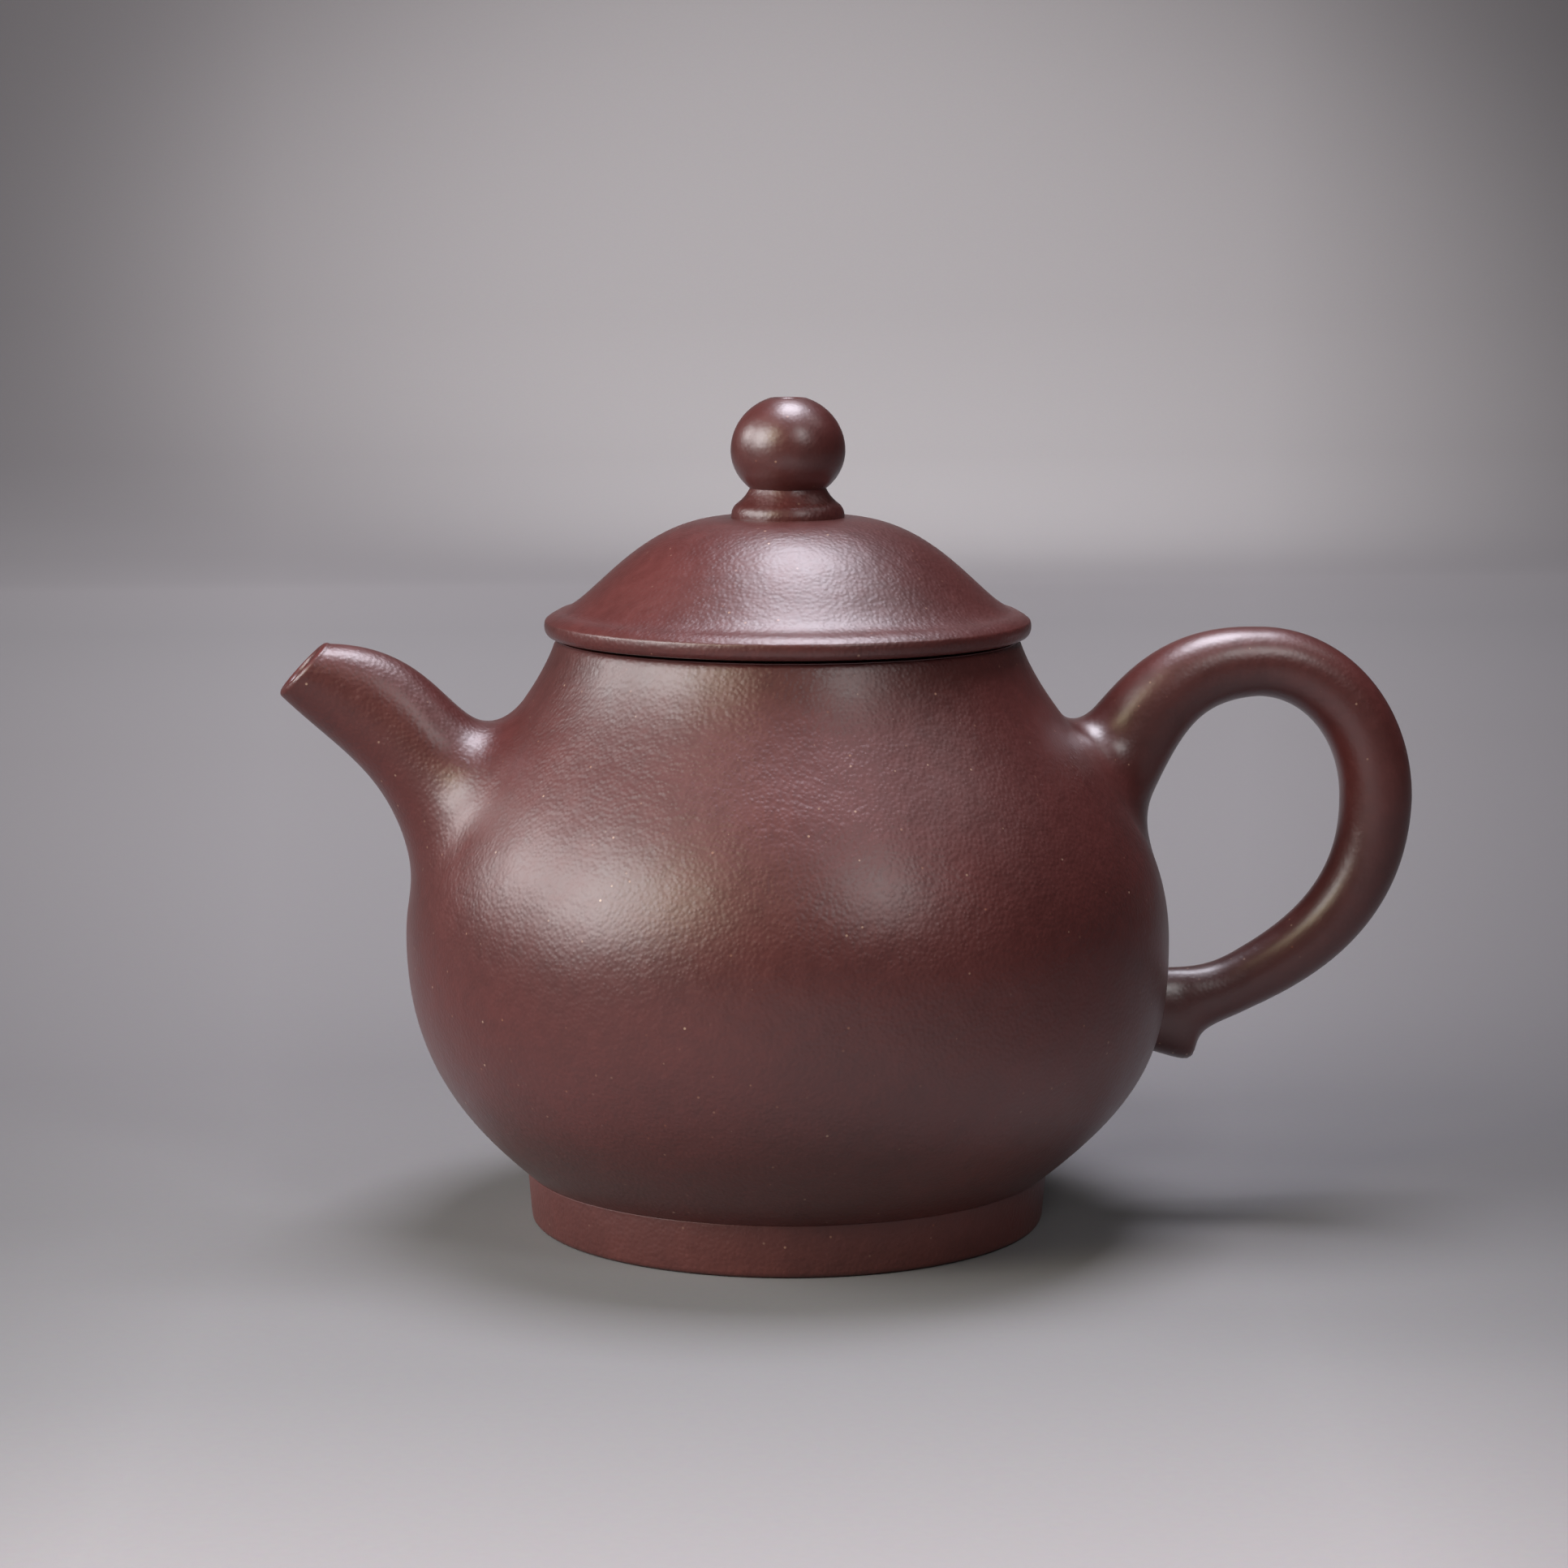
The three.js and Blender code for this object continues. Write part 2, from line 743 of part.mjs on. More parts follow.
const pot = new THREE.Group();
pot.add(piece('foot_ring', footRing(), '#6a4542', 0.6));
pot.add(piece('base_disc', baseDisc(), '#6b4947', 0.6));
pot.add(piece('body_wall', bellyWall(strainerPocket()), '#6f4c4a', 0.5));
pot.add(piece('mouth_ring', mouthRing(), '#6f4c4a', 0.5));
pot.add(piece('spout', spout(bellyCutter), '#6d4a48', 0.5));
pot.add(piece('spout_strainer', strainer(), '#6a4745', 0.65));
pot.add(piece('handle', handle(bellyCutter), '#684544', 0.5));

const lid = new THREE.Group();
lid.add(piece('lid_collar', lidCollar(), '#6b4846', 0.55));
lid.add(piece('lid_rim', lidRim(), '#6f4c4b', 0.5));
lid.add(piece('lid_dome', lidDome(), '#704d4c', 0.48));
lid.add(piece('knob_seat', knobSeat(), '#6c4947', 0.5));
lid.add(piece('knob', knob(), '#6c4948', 0.45));

// The origin is on the table, under the middle of the whole length from spout to handle.
const teapot = new THREE.Group();
teapot.add(pot, lid);
const extent = new THREE.Box3().setFromObject(teapot);
teapot.position.x = -(extent.min.x + extent.max.x) / 2;

export default teapot;
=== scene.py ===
# %% [markdown]
# # A small round stoneware teapot
# The pot in this scene is built by hand from one purple-brown clay, burnished, and fired without
# a glaze. Its solids come from the CAD frame, and this script dresses them: every piece is made
# again as a fine mesh in the same place and at the same size, and then given its clay.

# %% Load the frame
import math
import bmesh
import bpy
import numpy as np
from mathutils import Matrix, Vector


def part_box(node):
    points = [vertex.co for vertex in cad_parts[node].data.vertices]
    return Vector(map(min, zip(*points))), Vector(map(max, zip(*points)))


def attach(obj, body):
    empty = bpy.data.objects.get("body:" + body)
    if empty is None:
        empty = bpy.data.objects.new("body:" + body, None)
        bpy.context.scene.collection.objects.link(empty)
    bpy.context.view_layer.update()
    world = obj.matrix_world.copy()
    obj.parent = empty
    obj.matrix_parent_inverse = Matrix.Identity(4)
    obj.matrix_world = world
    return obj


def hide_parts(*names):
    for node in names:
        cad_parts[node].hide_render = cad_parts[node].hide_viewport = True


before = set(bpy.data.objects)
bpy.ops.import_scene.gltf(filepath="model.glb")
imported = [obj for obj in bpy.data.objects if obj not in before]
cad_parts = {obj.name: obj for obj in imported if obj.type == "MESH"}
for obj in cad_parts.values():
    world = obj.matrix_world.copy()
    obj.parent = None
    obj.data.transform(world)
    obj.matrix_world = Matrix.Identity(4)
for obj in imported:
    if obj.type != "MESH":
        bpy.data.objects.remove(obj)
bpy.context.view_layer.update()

# %% [markdown]
# ## Camera
# The picture is taken from a little above the lid, with a lens of about 94 mm that stands 440 mm
# from the pot's axis. From there the foot is seen more from above than the lid's rim is, and both
# have to come out right at once. The camera is turned seven degrees round the pot, so that the
# spout comes slightly towards it. The focal length is written in pixels of the picture, as it
# was measured there, and is turned to millimetres for Blender.

# %% Camera
knob_low, knob_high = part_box("knob")
AXIS_X = (knob_low[0] + knob_high[0]) / 2 * 1000
CAMERA_DISTANCE = 440.0
CAMERA_HEIGHT = 111.2
CAMERA_TURN = math.radians(-7)
CAMERA_PITCH = math.radians(8.22)
CAMERA_ROLL = math.radians(-0.07)
SENSOR = 36
PICTURE_PIXELS, FOCAL_PIXELS, SHIFT_PIXELS = 1932, 5057, -5.3
LENS = SENSOR * FOCAL_PIXELS / PICTURE_PIXELS

camera = bpy.data.objects.new("camera", bpy.data.cameras.new("camera"))
bpy.context.scene.collection.objects.link(camera)
camera.data.lens = LENS
camera.data.sensor_width = SENSOR
camera.data.shift_x = SHIFT_PIXELS / PICTURE_PIXELS
camera.data.clip_start = 0.01
camera.location = (
    (AXIS_X + CAMERA_DISTANCE * math.sin(CAMERA_TURN)) / 1000,
    -CAMERA_DISTANCE * math.cos(CAMERA_TURN) / 1000,
    CAMERA_HEIGHT / 1000,
)
camera.rotation_euler = (math.pi / 2 - CAMERA_PITCH, CAMERA_ROLL, CAMERA_TURN)
bpy.context.scene.camera = camera
print("pot axis at x", round(AXIS_X, 3), "mm, camera lens", round(LENS, 1), "mm")

# %% [markdown]
# ## The pot's own measures
# Everything is laid out in millimetres from the pot's axis, because a potter's pieces all turn
# about it. The frame's origin lies between spout and handle, so the meshes are moved by AXIS_X
# and turned to metres as they are made.

# %% Measures
FOOT_RADIUS, FOOT_HEIGHT, FOOT_WIDTH, FOOT_TAPER = 28.4, 5.75, 3.6, 0.5
BASE_TOP = FOOT_HEIGHT + 2.8
BELLY_RADIUS, BELLY_HEIGHT, WALL = 41.35, 31.2, 2.6
MOUTH_RADIUS, MOUTH_HEIGHT = 24.95, 63.6
MOUTH_BORE = MOUTH_RADIUS - 3.1
LID_HEIGHT = MOUTH_HEIGHT + 0.3
DOME_FOOT = LID_HEIGHT + 2.6
DOME_TOP = DOME_FOOT + 10.1
DOME_RADIUS = MOUTH_RADIUS - 0.25
BEAD_OUTER = MOUTH_RADIUS + 1.2
LID_WALL = 2.1
COLLAR_OUTER = MOUTH_BORE - 0.45
COLLAR_INNER = COLLAR_OUTER - 1.9
COLLAR_BOTTOM = LID_HEIGHT - 7.5
SEAT_RADIUS = 6.0
KNOB_BOTTOM = DOME_TOP + 3.1
KNOB_TOP = KNOB_BOTTOM + 9.65
KNOB_RADIUS, KNOB_WAIST = 6.15, 4.1
VENT_RADIUS, VENT_WIDE = 1.0, 1.5
print("pot", round(KNOB_TOP, 2), "mm high, belly", 2 * BELLY_RADIUS, "mm, mouth", 2 * MOUTH_RADIUS, "mm")

# %% [markdown]
# ## From points to a piece
# Every piece starts as rows of points in numpy. Curves with four control points give the soft
# lines that a potter's rib leaves, and points spaced evenly along them give even faces. Blender
# then makes the mesh and smooths its normals, except where two faces meet at more than 38
# degrees: such a corner is meant, and it stays crisp.

# %% Curves and meshes
CRISP_ANGLE = math.radians(38)


def bezier(a, b, c, d, count):
    """Points along a cubic curve, as rows."""
    t = np.linspace(0, 1, count)[:, None]
    a, b, c, d = (np.asarray(p, float) for p in (a, b, c, d))
    return (1 - t) ** 3 * a + 3 * t * (1 - t) ** 2 * b + 3 * t * t * (1 - t) * c + t ** 3 * d


def evenly(points, count):
    """The same line with its points spaced evenly along it."""
    steps = np.linalg.norm(np.diff(points, axis=0), axis=1)
    length = np.concatenate([[0], np.cumsum(steps)])
    want = np.linspace(0, length[-1], count)
    return np.stack([np.interp(want, length, points[:, i]) for i in range(points.shape[1])], 1)


def make_piece(name, points, faces, body, *nodes):
    """A smooth mesh from millimetres about the pot's axis, riding on a body and standing for CAD nodes."""
    mesh = bpy.data.meshes.new(name)
    placed = (np.asarray(points, float) + (AXIS_X, 0, 0)) / 1000
    mesh.from_pydata(placed.tolist(), [], faces)
    shape = bmesh.new()
    shape.from_mesh(mesh)
    bmesh.ops.recalc_face_normals(shape, faces=shape.faces)
    shape.to_mesh(mesh)
    shape.free()
    mesh.shade_smooth()
    mesh.set_sharp_from_angle(angle=CRISP_ANGLE)
    piece = bpy.data.objects.new(name, mesh)
    bpy.context.scene.collection.objects.link(piece)
    if body:
        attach(piece, body)
        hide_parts(*nodes)
        print(name, len(mesh.polygons), "faces")
    return piece


# %% [markdown]
# ## Turned pieces
# Foot, belly, lid and knob are round about the axis, so each is a profile that is turned. Clay
# never keeps a knife-sharp corner: every corner of a profile is softened by a small arc, and
# these arcs catch the thin lines of light that show where one piece ends.

# %% Turning a profile
def softened(corners, steps=4):
    """A profile from (radius, height, corner radius), each corner replaced by a small arc."""
    points = []
    count = len(corners)
    for i, (r, z, soft) in enumerate(corners):
        here = np.array([r, z], float)
        if soft == 0:
            points.append(here)
            continue
        before = np.array(corners[i - 1][:2], float) - here
        after = np.array(corners[(i + 1) % count][:2], float) - here
        start = here + before / np.linalg.norm(before) * soft
        end = here + after / np.linalg.norm(after) * soft
        for t in np.linspace(0, 1, steps + 1):
            points.append((1 - t) ** 2 * start + 2 * t * (1 - t) * here + t * t * end)
    return points


def turned(name, profile, body, *nodes, facets=192):
    """Turns a closed profile about the axis. Points on the axis become one vertex."""
    points, rings = [], []
    angles = np.linspace(0, 2 * math.pi, facets, endpoint=False)
    for r, z in profile:
        first = len(points)
        if r < 1e-6:
            points.append((0, 0, z))
            rings.append([first] * facets)
        else:
            points += [(r * math.cos(a), r * math.sin(a), z) for a in angles]
            rings.append(list(range(first, first + facets)))
    faces = []
    for low, high in zip(rings, rings[1:] + rings[:1]):
        for k in range(facets):
            n = (k + 1) % facets
            corners = [low[k], low[n], high[n], high[k]]
            face = list(dict.fromkeys(corners))
            if len(face) > 2:
                faces.append(face)
    return make_piece(name, points, faces, body, *nodes)


# %% [markdown]
# ## The belly's outline
# The belly is one line from the foot to the mouth: two curves that meet upright at the widest
# place, a little under half the height of the wall. Each curve is held by its two ends and by
# two handles, whose offsets are in millimetres. Spout and handle are rooted on this line too, so
# it is kept as a fine table that tells how high any point stands above the clay.

# %% Outline of the belly
FINE = 400
lower = bezier((FOOT_RADIUS, FOOT_HEIGHT), (FOOT_RADIUS + 9.9, FOOT_HEIGHT + 8.2),
               (BELLY_RADIUS, BELLY_HEIGHT - 11.3), (BELLY_RADIUS, BELLY_HEIGHT), FINE)
upper = bezier((BELLY_RADIUS, BELLY_HEIGHT), (BELLY_RADIUS, BELLY_HEIGHT + 14.9),
               (MOUTH_RADIUS + 3.3, MOUTH_HEIGHT - 10.3), (MOUTH_RADIUS, MOUTH_HEIGHT), FINE)
belly = evenly(np.vstack([lower, upper[1:]]), 2 * FINE + 1)
belly_run = np.gradient(belly, axis=0)
belly_run /= np.linalg.norm(belly_run, axis=1)[:, None]
belly_out = np.stack([belly_run[:, 1], -belly_run[:, 0]], 1)
print("outline length", round(float(np.linalg.norm(np.diff(belly, axis=0), axis=1).sum()), 1), "mm")


def on_belly(points):
    """How high points stand above the belly, the nearest places on it, and its normals there."""
    points = np.asarray(points, float)
    flat = np.stack([np.hypot(points[..., 0], points[..., 1]), points[..., 2]], -1)
    near = ((flat[..., None, :] - belly) ** 2).sum(-1).argmin(-1)
    step = np.linalg.norm(belly[1] - belly[0])
    index = near + ((flat - belly[near]) * belly_run[near]).sum(-1) / step
    rows = np.arange(len(belly))
    place = np.stack([np.interp(index, rows, belly[:, i]) for i in (0, 1)], -1)
    out = np.stack([np.interp(index, rows, belly_out[:, i]) for i in (0, 1)], -1)
    height = ((flat - place) * out).sum(-1)
    turn = points[..., :2] / np.maximum(flat[..., :1], 1e-9)
    place = np.concatenate([turn * place[..., :1], place[..., 1:]], -1)
    out = np.concatenate([turn * out[..., :1], out[..., 1:]], -1)
    return height, place, out


def belly_at(height, depth=0.0):
    """The outline's point at a height, moved in by a depth, and its normal, as (out, up) pairs."""
    i = int(np.argmin(np.abs(belly[:, 1] - height)))
    return belly[i] - depth * belly_out[i], belly_out[i]


# %% [markdown]
# ## Foot ring and pot
# The foot ring is a plain band that leans in a little towards the table. The pot above it is
# one shell: outside line, flat mouth, bore, a step down to the thinner wall, and the inside line
# back to the base. Both are closed, because the mesh is also kept as a solid.

# %% Foot ring
foot = turned("foot_ring_clay", softened([
    (FOOT_RADIUS - FOOT_WIDTH, 0, 0.5),
    (FOOT_RADIUS - FOOT_TAPER, 0, 0.7),
    (FOOT_RADIUS, FOOT_HEIGHT, 0.12),
    (FOOT_RADIUS - FOOT_WIDTH, FOOT_HEIGHT, 0.2),
]), "pot", "foot_ring")

# %% Pot wall
# The inside line stops short of the base and of the mouth's step, and BASE_FILLET is how far the
# bevel between wall and base reaches in.
MOUTH_STEP = 2.4
INSIDE_LOW, INSIDE_TOP, BASE_FILLET = BASE_TOP + 1, MOUTH_HEIGHT - 3.6, 1.6
outside = evenly(belly, 120)[:-1]
inside = evenly(belly - WALL * belly_out, 90)
inside = inside[(inside[:, 1] > INSIDE_LOW) & (inside[:, 1] < INSIDE_TOP)]
pot_wall = turned("pot_wall", [
    (0, FOOT_HEIGHT),
    *outside,
    *softened([
        (MOUTH_RADIUS, MOUTH_HEIGHT, 0.35),
        (MOUTH_BORE, MOUTH_HEIGHT, 0.5),
        (MOUTH_BORE, MOUTH_HEIGHT - MOUTH_STEP, 0.8),
    ])[1:],
    *inside[::-1],
    (inside[0, 0] - BASE_FILLET, BASE_TOP),
    (0, BASE_TOP),
], "pot", "base_disc", "body_wall", "mouth_ring", facets=256)

# A beaten pot is never quite true: this one's lower belly stands a little towards the handle,
# most at LEAN_HEIGHT and less above and below it.
LEAN, LEAN_HEIGHT, LEAN_REACH = 0.4, 17, 9
for point in pot_wall.data.vertices:
    point.co.x += LEAN / 1000 * math.exp(-((point.co.z * 1000 - LEAN_HEIGHT) / LEAN_REACH) ** 2)
print("lower belly stands", LEAN, "mm aside at a height of", LEAN_HEIGHT, "mm")

# %% [markdown]
# ## The strainer
# The wall behind the spout is cut out, and a small dome of clay pierced with an awl is set into
# the hole so that it bulges into the pot. The awl goes in square to the dome, ring after ring.
# The dome is turned on the pot's own axis, as every round piece here, and a matrix carries it to
# the wall and lays it square to the clay. The holes are cut with rods, as the awl does it: holes
# in a texture would leave the strainer a closed cap.

# %% Place of the strainer
STRAINER_RADIUS, STRAINER_BULGE, STRAINER_WALL = 6.2, 4.6, 1.1
STRAINER_DROP = 15
strainer_place, strainer_out = belly_at(MOUTH_HEIGHT - STRAINER_DROP)
strainer_matrix = (
    Matrix.Translation(((AXIS_X - strainer_place[0]) / 1000, 0, strainer_place[1] / 1000))
    @ Matrix.Rotation(math.atan2(-strainer_out[0], strainer_out[1]), 4, "Y")
    @ Matrix.Translation((-AXIS_X / 1000, 0, 0))
)
print("strainer", round(float(strainer_place[1]), 1), "mm above the table")


# %% Tools that cut
def cut(piece, *cutters):
    """Cuts one piece by others, which are then removed."""
    for cutter in cutters:
        tool = piece.modifiers.new("cut", "BOOLEAN")
        tool.operation = "DIFFERENCE"
        tool.object = cutter
    bpy.context.view_layer.update()
    whole = bpy.data.meshes.new_from_object(piece.evaluated_get(bpy.context.evaluated_depsgraph_get()))
    whole.name = piece.name
    piece.modifiers.clear()
    piece.data = whole
    for cutter in cutters:
        bpy.data.objects.remove(cutter)


def round_rod(name, radius, low, high, place):
    """A round rod to cut with. It is made upright on the pot's axis and moved to its place."""
    rod = turned(name, [(0, low), (radius, low), (radius, high), (0, high)], None, facets=48)
    rod.matrix_world = place
    return rod


# %% Strainer dome
# The dome's brim ends BRIM_DEPTH under the pot's outer skin.
BRIM_DEPTH = 0.7
sphere = (STRAINER_RADIUS ** 2 + STRAINER_BULGE ** 2) / (2 * STRAINER_BULGE)
middle = sphere - WALL - STRAINER_BULGE
cup = []
for thinner in (0, STRAINER_WALL):
    radius, edge = sphere - thinner, STRAINER_RADIUS - thinner
    arc = [(radius * math.sin(a), middle - radius * math.cos(a))
           for a in np.linspace(0, math.asin(edge / radius), 16)]
    arc.append((edge, -BRIM_DEPTH))
    cup += arc[::-1] if thinner else arc
strainer = turned("spout_strainer_dome", cup, "pot", "spout_strainer", facets=96)
strainer.data.transform(strainer_matrix)

# %% Strainer holes
# One hole in the middle, and rings of 6, 12 and 18 round it, each RING_ANGLE (in radians)
# farther down the dome.
HOLE_RADIUS, HOLE_RINGS, RING_ANGLE, PLAY = 0.6, 4, 0.45, 0.05
awls = []
for ring in range(HOLE_RINGS):
    count = max(1, ring * 6)
    for k in range(count):
        turn = 2 * math.pi * (k + ring / 2) / count
        aim = (Matrix.Translation((AXIS_X / 1000, 0, middle / 1000)) @ Matrix.Rotation(turn, 4, "Z")
               @ Matrix.Rotation(RING_ANGLE * ring, 4, "X") @ Matrix.Translation((-AXIS_X / 1000, 0, 0)))
        awls.append(round_rod("awl", HOLE_RADIUS, -sphere - 1, -sphere + 2 * STRAINER_WALL,
                              strainer_matrix @ aim))
cut(strainer, *awls)
cut(pot_wall, round_rod("hole_cutter", STRAINER_RADIUS + PLAY, -3 * WALL, WALL, strainer_matrix))
print("strainer holes", len(awls), "strainer faces", len(strainer.data.polygons))

# %% [markdown]
# ## The lid
# The lid is a shallow cap. Its rim ends in a thick bead that is rounded below and bevelled above,
# up to the foot of the dome. The dome leaves the rim almost flat, climbs at the slope of the
# pot's shoulder, so that the two read as one curve, and flattens again under the knob. A round
# collar hangs under the rim and keeps the lid in the mouth while the pot is poured. It stops a
# hair short of the rim, so that the rim turns above it without a touch.

# %% Lid rim and bead
lid_rim = turned("lid_rim_bead", softened([
    (COLLAR_INNER, LID_HEIGHT, 0),
    (BEAD_OUTER - 0.25, LID_HEIGHT, 0.6),
    (BEAD_OUTER + 0.12, LID_HEIGHT + 1.0, 0.5),
    (BEAD_OUTER - 0.05, LID_HEIGHT + 1.72, 0.15),
    (BEAD_OUTER - 0.55, LID_HEIGHT + 2.1, 0.2),
    (DOME_RADIUS, DOME_FOOT, 0),
    (COLLAR_INNER, DOME_FOOT, 0),
]), "lid_cap", "lid_rim")

# %% Lid dome
# Its inside follows the outside at the lid's thickness, as far as the collar lets it.
dome_line = evenly(bezier((DOME_RADIUS, DOME_FOOT), (DOME_RADIUS - 3.6, DOME_FOOT + 0.6),
                          (SEAT_RADIUS + 10.2, DOME_TOP + 0.12), (SEAT_RADIUS, DOME_TOP), 200), 60)
dome_run = np.gradient(dome_line, axis=0)
dome_out = np.stack([dome_run[:, 1], -dome_run[:, 0]], 1)
dome_out /= np.linalg.norm(dome_out, axis=1)[:, None]
dome_inside = dome_line - LID_WALL * dome_out
dome_inside = dome_inside[(dome_inside[:, 1] > DOME_FOOT + 0.2) & (dome_inside[:, 0] < COLLAR_INNER)]
lid_dome = turned("lid_dome_cap", [
    *dome_line,
    (VENT_WIDE, DOME_TOP),
    (VENT_WIDE, dome_inside[-1, 1]),
    *dome_inside[::-1],
    (COLLAR_INNER, DOME_FOOT),
], "lid_cap", "lid_dome")

# %% Collar under the lid
COLLAR_TOP = LID_HEIGHT - 0.02
lid_collar = turned("lid_collar_ring", softened([
    (COLLAR_INNER, COLLAR_TOP, 0),
    (COLLAR_INNER, COLLAR_BOTTOM, 0.5),
    (COLLAR_OUTER, COLLAR_BOTTOM, 0.5),
    (COLLAR_OUTER, COLLAR_TOP, 0),
]), "lid_plug", "lid_collar")

# %% [markdown]
# ## The knob
# The knob is a ball on a small moulded seat: a soft bead below, and a cove above it that runs up
# to the waist. The ball is a little flatter below its belt than above it. The vent hole comes out
# at the top, and its edge is dished by the tool that bored it, which leaves a small flat there.

# %% Knob seat
BEAD_TOP = DOME_TOP + 1.45
seat_bead = bezier((SEAT_RADIUS + 0.1, DOME_TOP - 0.1), (SEAT_RADIUS + 0.12, DOME_TOP + 0.5),
                   (SEAT_RADIUS - 0.05, BEAD_TOP - 0.35), (SEAT_RADIUS - 0.52, BEAD_TOP), 12)
seat_cove = bezier((SEAT_RADIUS - 0.52, BEAD_TOP), (KNOB_WAIST + 0.95, BEAD_TOP + 0.3),
                   (KNOB_WAIST + 0.35, KNOB_BOTTOM - 0.75), (KNOB_WAIST, KNOB_BOTTOM), 12)
knob_seat = turned("knob_seat_moulding", [
    (VENT_WIDE, DOME_TOP), *seat_bead, *seat_cove[1:], (VENT_WIDE, KNOB_BOTTOM),
], "lid_cap", "knob_seat", facets=128)

# %% Knob
# Behind the ball's points come the dished edge of the vent, the vent, and its wider lower end.
KNOB_FLAT, BELT_RISE = 1.9, 4.05
belt = KNOB_BOTTOM + BELT_RISE
foot_angle = math.acos(KNOB_WAIST / KNOB_RADIUS)
head_angle = math.acos(KNOB_FLAT / KNOB_RADIUS)
low_half = (belt - KNOB_BOTTOM) / math.sin(foot_angle)
high_half = (KNOB_TOP - belt) / math.sin(head_angle)
ball = []
for a in np.linspace(-foot_angle, head_angle, 40):
    half = low_half if a < 0 else high_half
    ball.append((KNOB_RADIUS * math.cos(a), belt + half * math.sin(a)))
knob = turned("knob_ball", [
    (VENT_WIDE, KNOB_BOTTOM),
    *ball,
    (1.6, KNOB_TOP - 0.03),
    (1.3, KNOB_TOP - 0.2),
    (1.1, KNOB_TOP - 0.5),
    (VENT_RADIUS, KNOB_TOP - 1.0),
    (VENT_RADIUS, KNOB_BOTTOM + 1.5),
    (VENT_WIDE, KNOB_BOTTOM + 1),
], "lid_cap", "knob", facets=128)

# %% [markdown]
# ## Spout and handle: skins of long lines
# Neither is turned. Each is a row of oval sections, and the same point of every section makes
# one long line that runs down the piece. At the wall a potter smears the clay outward with a
# wet tool. The lines do the same: each leaves its piece a little before the belly and bends
# until it lies along the clay, which gives a fillet that follows the round of the pot.

# %% Sections
SIDES = 72
TURN = np.arange(SIDES) * 2 * math.pi / SIDES


def section(centre, reach, half_width, squareness=2.0):
    """An oval about a centre in the plane of symmetry, fuller where its squareness is above 2.

    Its first point is at the end of reach.
    """
    c, s = np.cos(TURN), np.sin(TURN)
    along = np.sign(c) * np.abs(c) ** (2 / squareness)
    across = np.sign(s) * np.abs(s) ** (2 / squareness)
    return np.stack([centre[0] + reach[0] * along, half_width * across, centre[1] + reach[1] * along], 1)


def tube(line, halves, squareness=2.0):
    """Sections square to a line in the plane of symmetry, with the first point on its left side."""
    run = np.gradient(line, axis=0)
    run /= np.linalg.norm(run, axis=1)[:, None]
    return [section(c, np.array([-r[1], r[0]]) * h, h, squareness) for c, r, h in zip(line, run, halves)]


# %% Along and around the long lines
def at_length(lines, lengths, want):
    """Points at given lengths along each long line."""
    return np.stack([[np.interp(w, lengths[:, k], lines[:, k, i]) for i in range(3)]
                     for k, w in enumerate(want)])


def around(first, last, side=0.0):
    """A size for each long line: first at the section's first point, last opposite, more at the sides."""
    return first + (last - first) * (1 - np.cos(TURN)) / 2 + side * np.abs(np.sin(TURN))


# %% Roots that run out on the belly
# PULL is how strongly a fillet follows the directions of its two ends. TUCK takes its edge under
# the clay afterwards, in pairs of a further run and a depth.
PULL, JUST_UNDER = 0.7, 0.01
TUCK = ((0.3, 0.02), (0.6, 0.05), (0.0, 1.0))


def rooted(lines, rise, spread, rings=60, bends=16):
    """Ends the long lines on the belly. Rise is where each leaves its piece, spread how far it runs on."""
    lines = np.asarray(lines, float)
    steps = np.linalg.norm(np.diff(lines, axis=0), axis=2)
    lengths = np.vstack([np.zeros(SIDES), np.cumsum(steps, axis=0)])
    height = on_belly(lines)[0]
    meet = np.empty(SIDES)
    for k in range(SIDES):
        i = int(np.argmax(height[:, k] <= 0))
        part = height[i - 1, k] / (height[i - 1, k] - height[i, k])
        meet[k] = lengths[i - 1, k] + part * (lengths[i, k] - lengths[i - 1, k])
    leave = at_length(lines, lengths, meet - rise)
    heading = at_length(lines, lengths, meet - rise + 0.1) - at_length(lines, lengths, meet - rise - 0.1)
    heading /= np.linalg.norm(heading, axis=1)[:, None]
    corner = on_belly(at_length(lines, lengths, meet))[1]
    out = on_belly(corner)[2]
    away = np.cross(np.roll(corner, -1, 0) - np.roll(corner, 1, 0), out)
    away *= np.sign((away * (corner - corner.mean(0))).sum(1))[:, None]
    away /= np.linalg.norm(away, axis=1)[:, None]

    def laid(reach, depth):
        """Points that far out on the belly, at a depth under its skin."""
        _, place, out = on_belly(corner + away * reach[:, None])
        return place - depth * out

    land = laid(spread, JUST_UNDER)
    along = laid(spread + 0.2, JUST_UNDER) - land
    along /= np.linalg.norm(along, axis=1)[:, None]
    rows = [at_length(lines, lengths, (meet - rise) * t) for t in np.linspace(0, 1, rings)[:-1]]
    for t in np.linspace(0, 1, bends):
        a, b, c, d = (1 - t) ** 3, 3 * t * (1 - t) ** 2, 3 * t * t * (1 - t), t ** 3
        rows.append(a * leave + b * (leave + heading * rise[:, None] * PULL)
                    + c * (land - along * spread[:, None] * PULL) + d * land)
    for further, depth in TUCK:
        rows.append(laid(spread + further, depth))
    return np.array(rows)


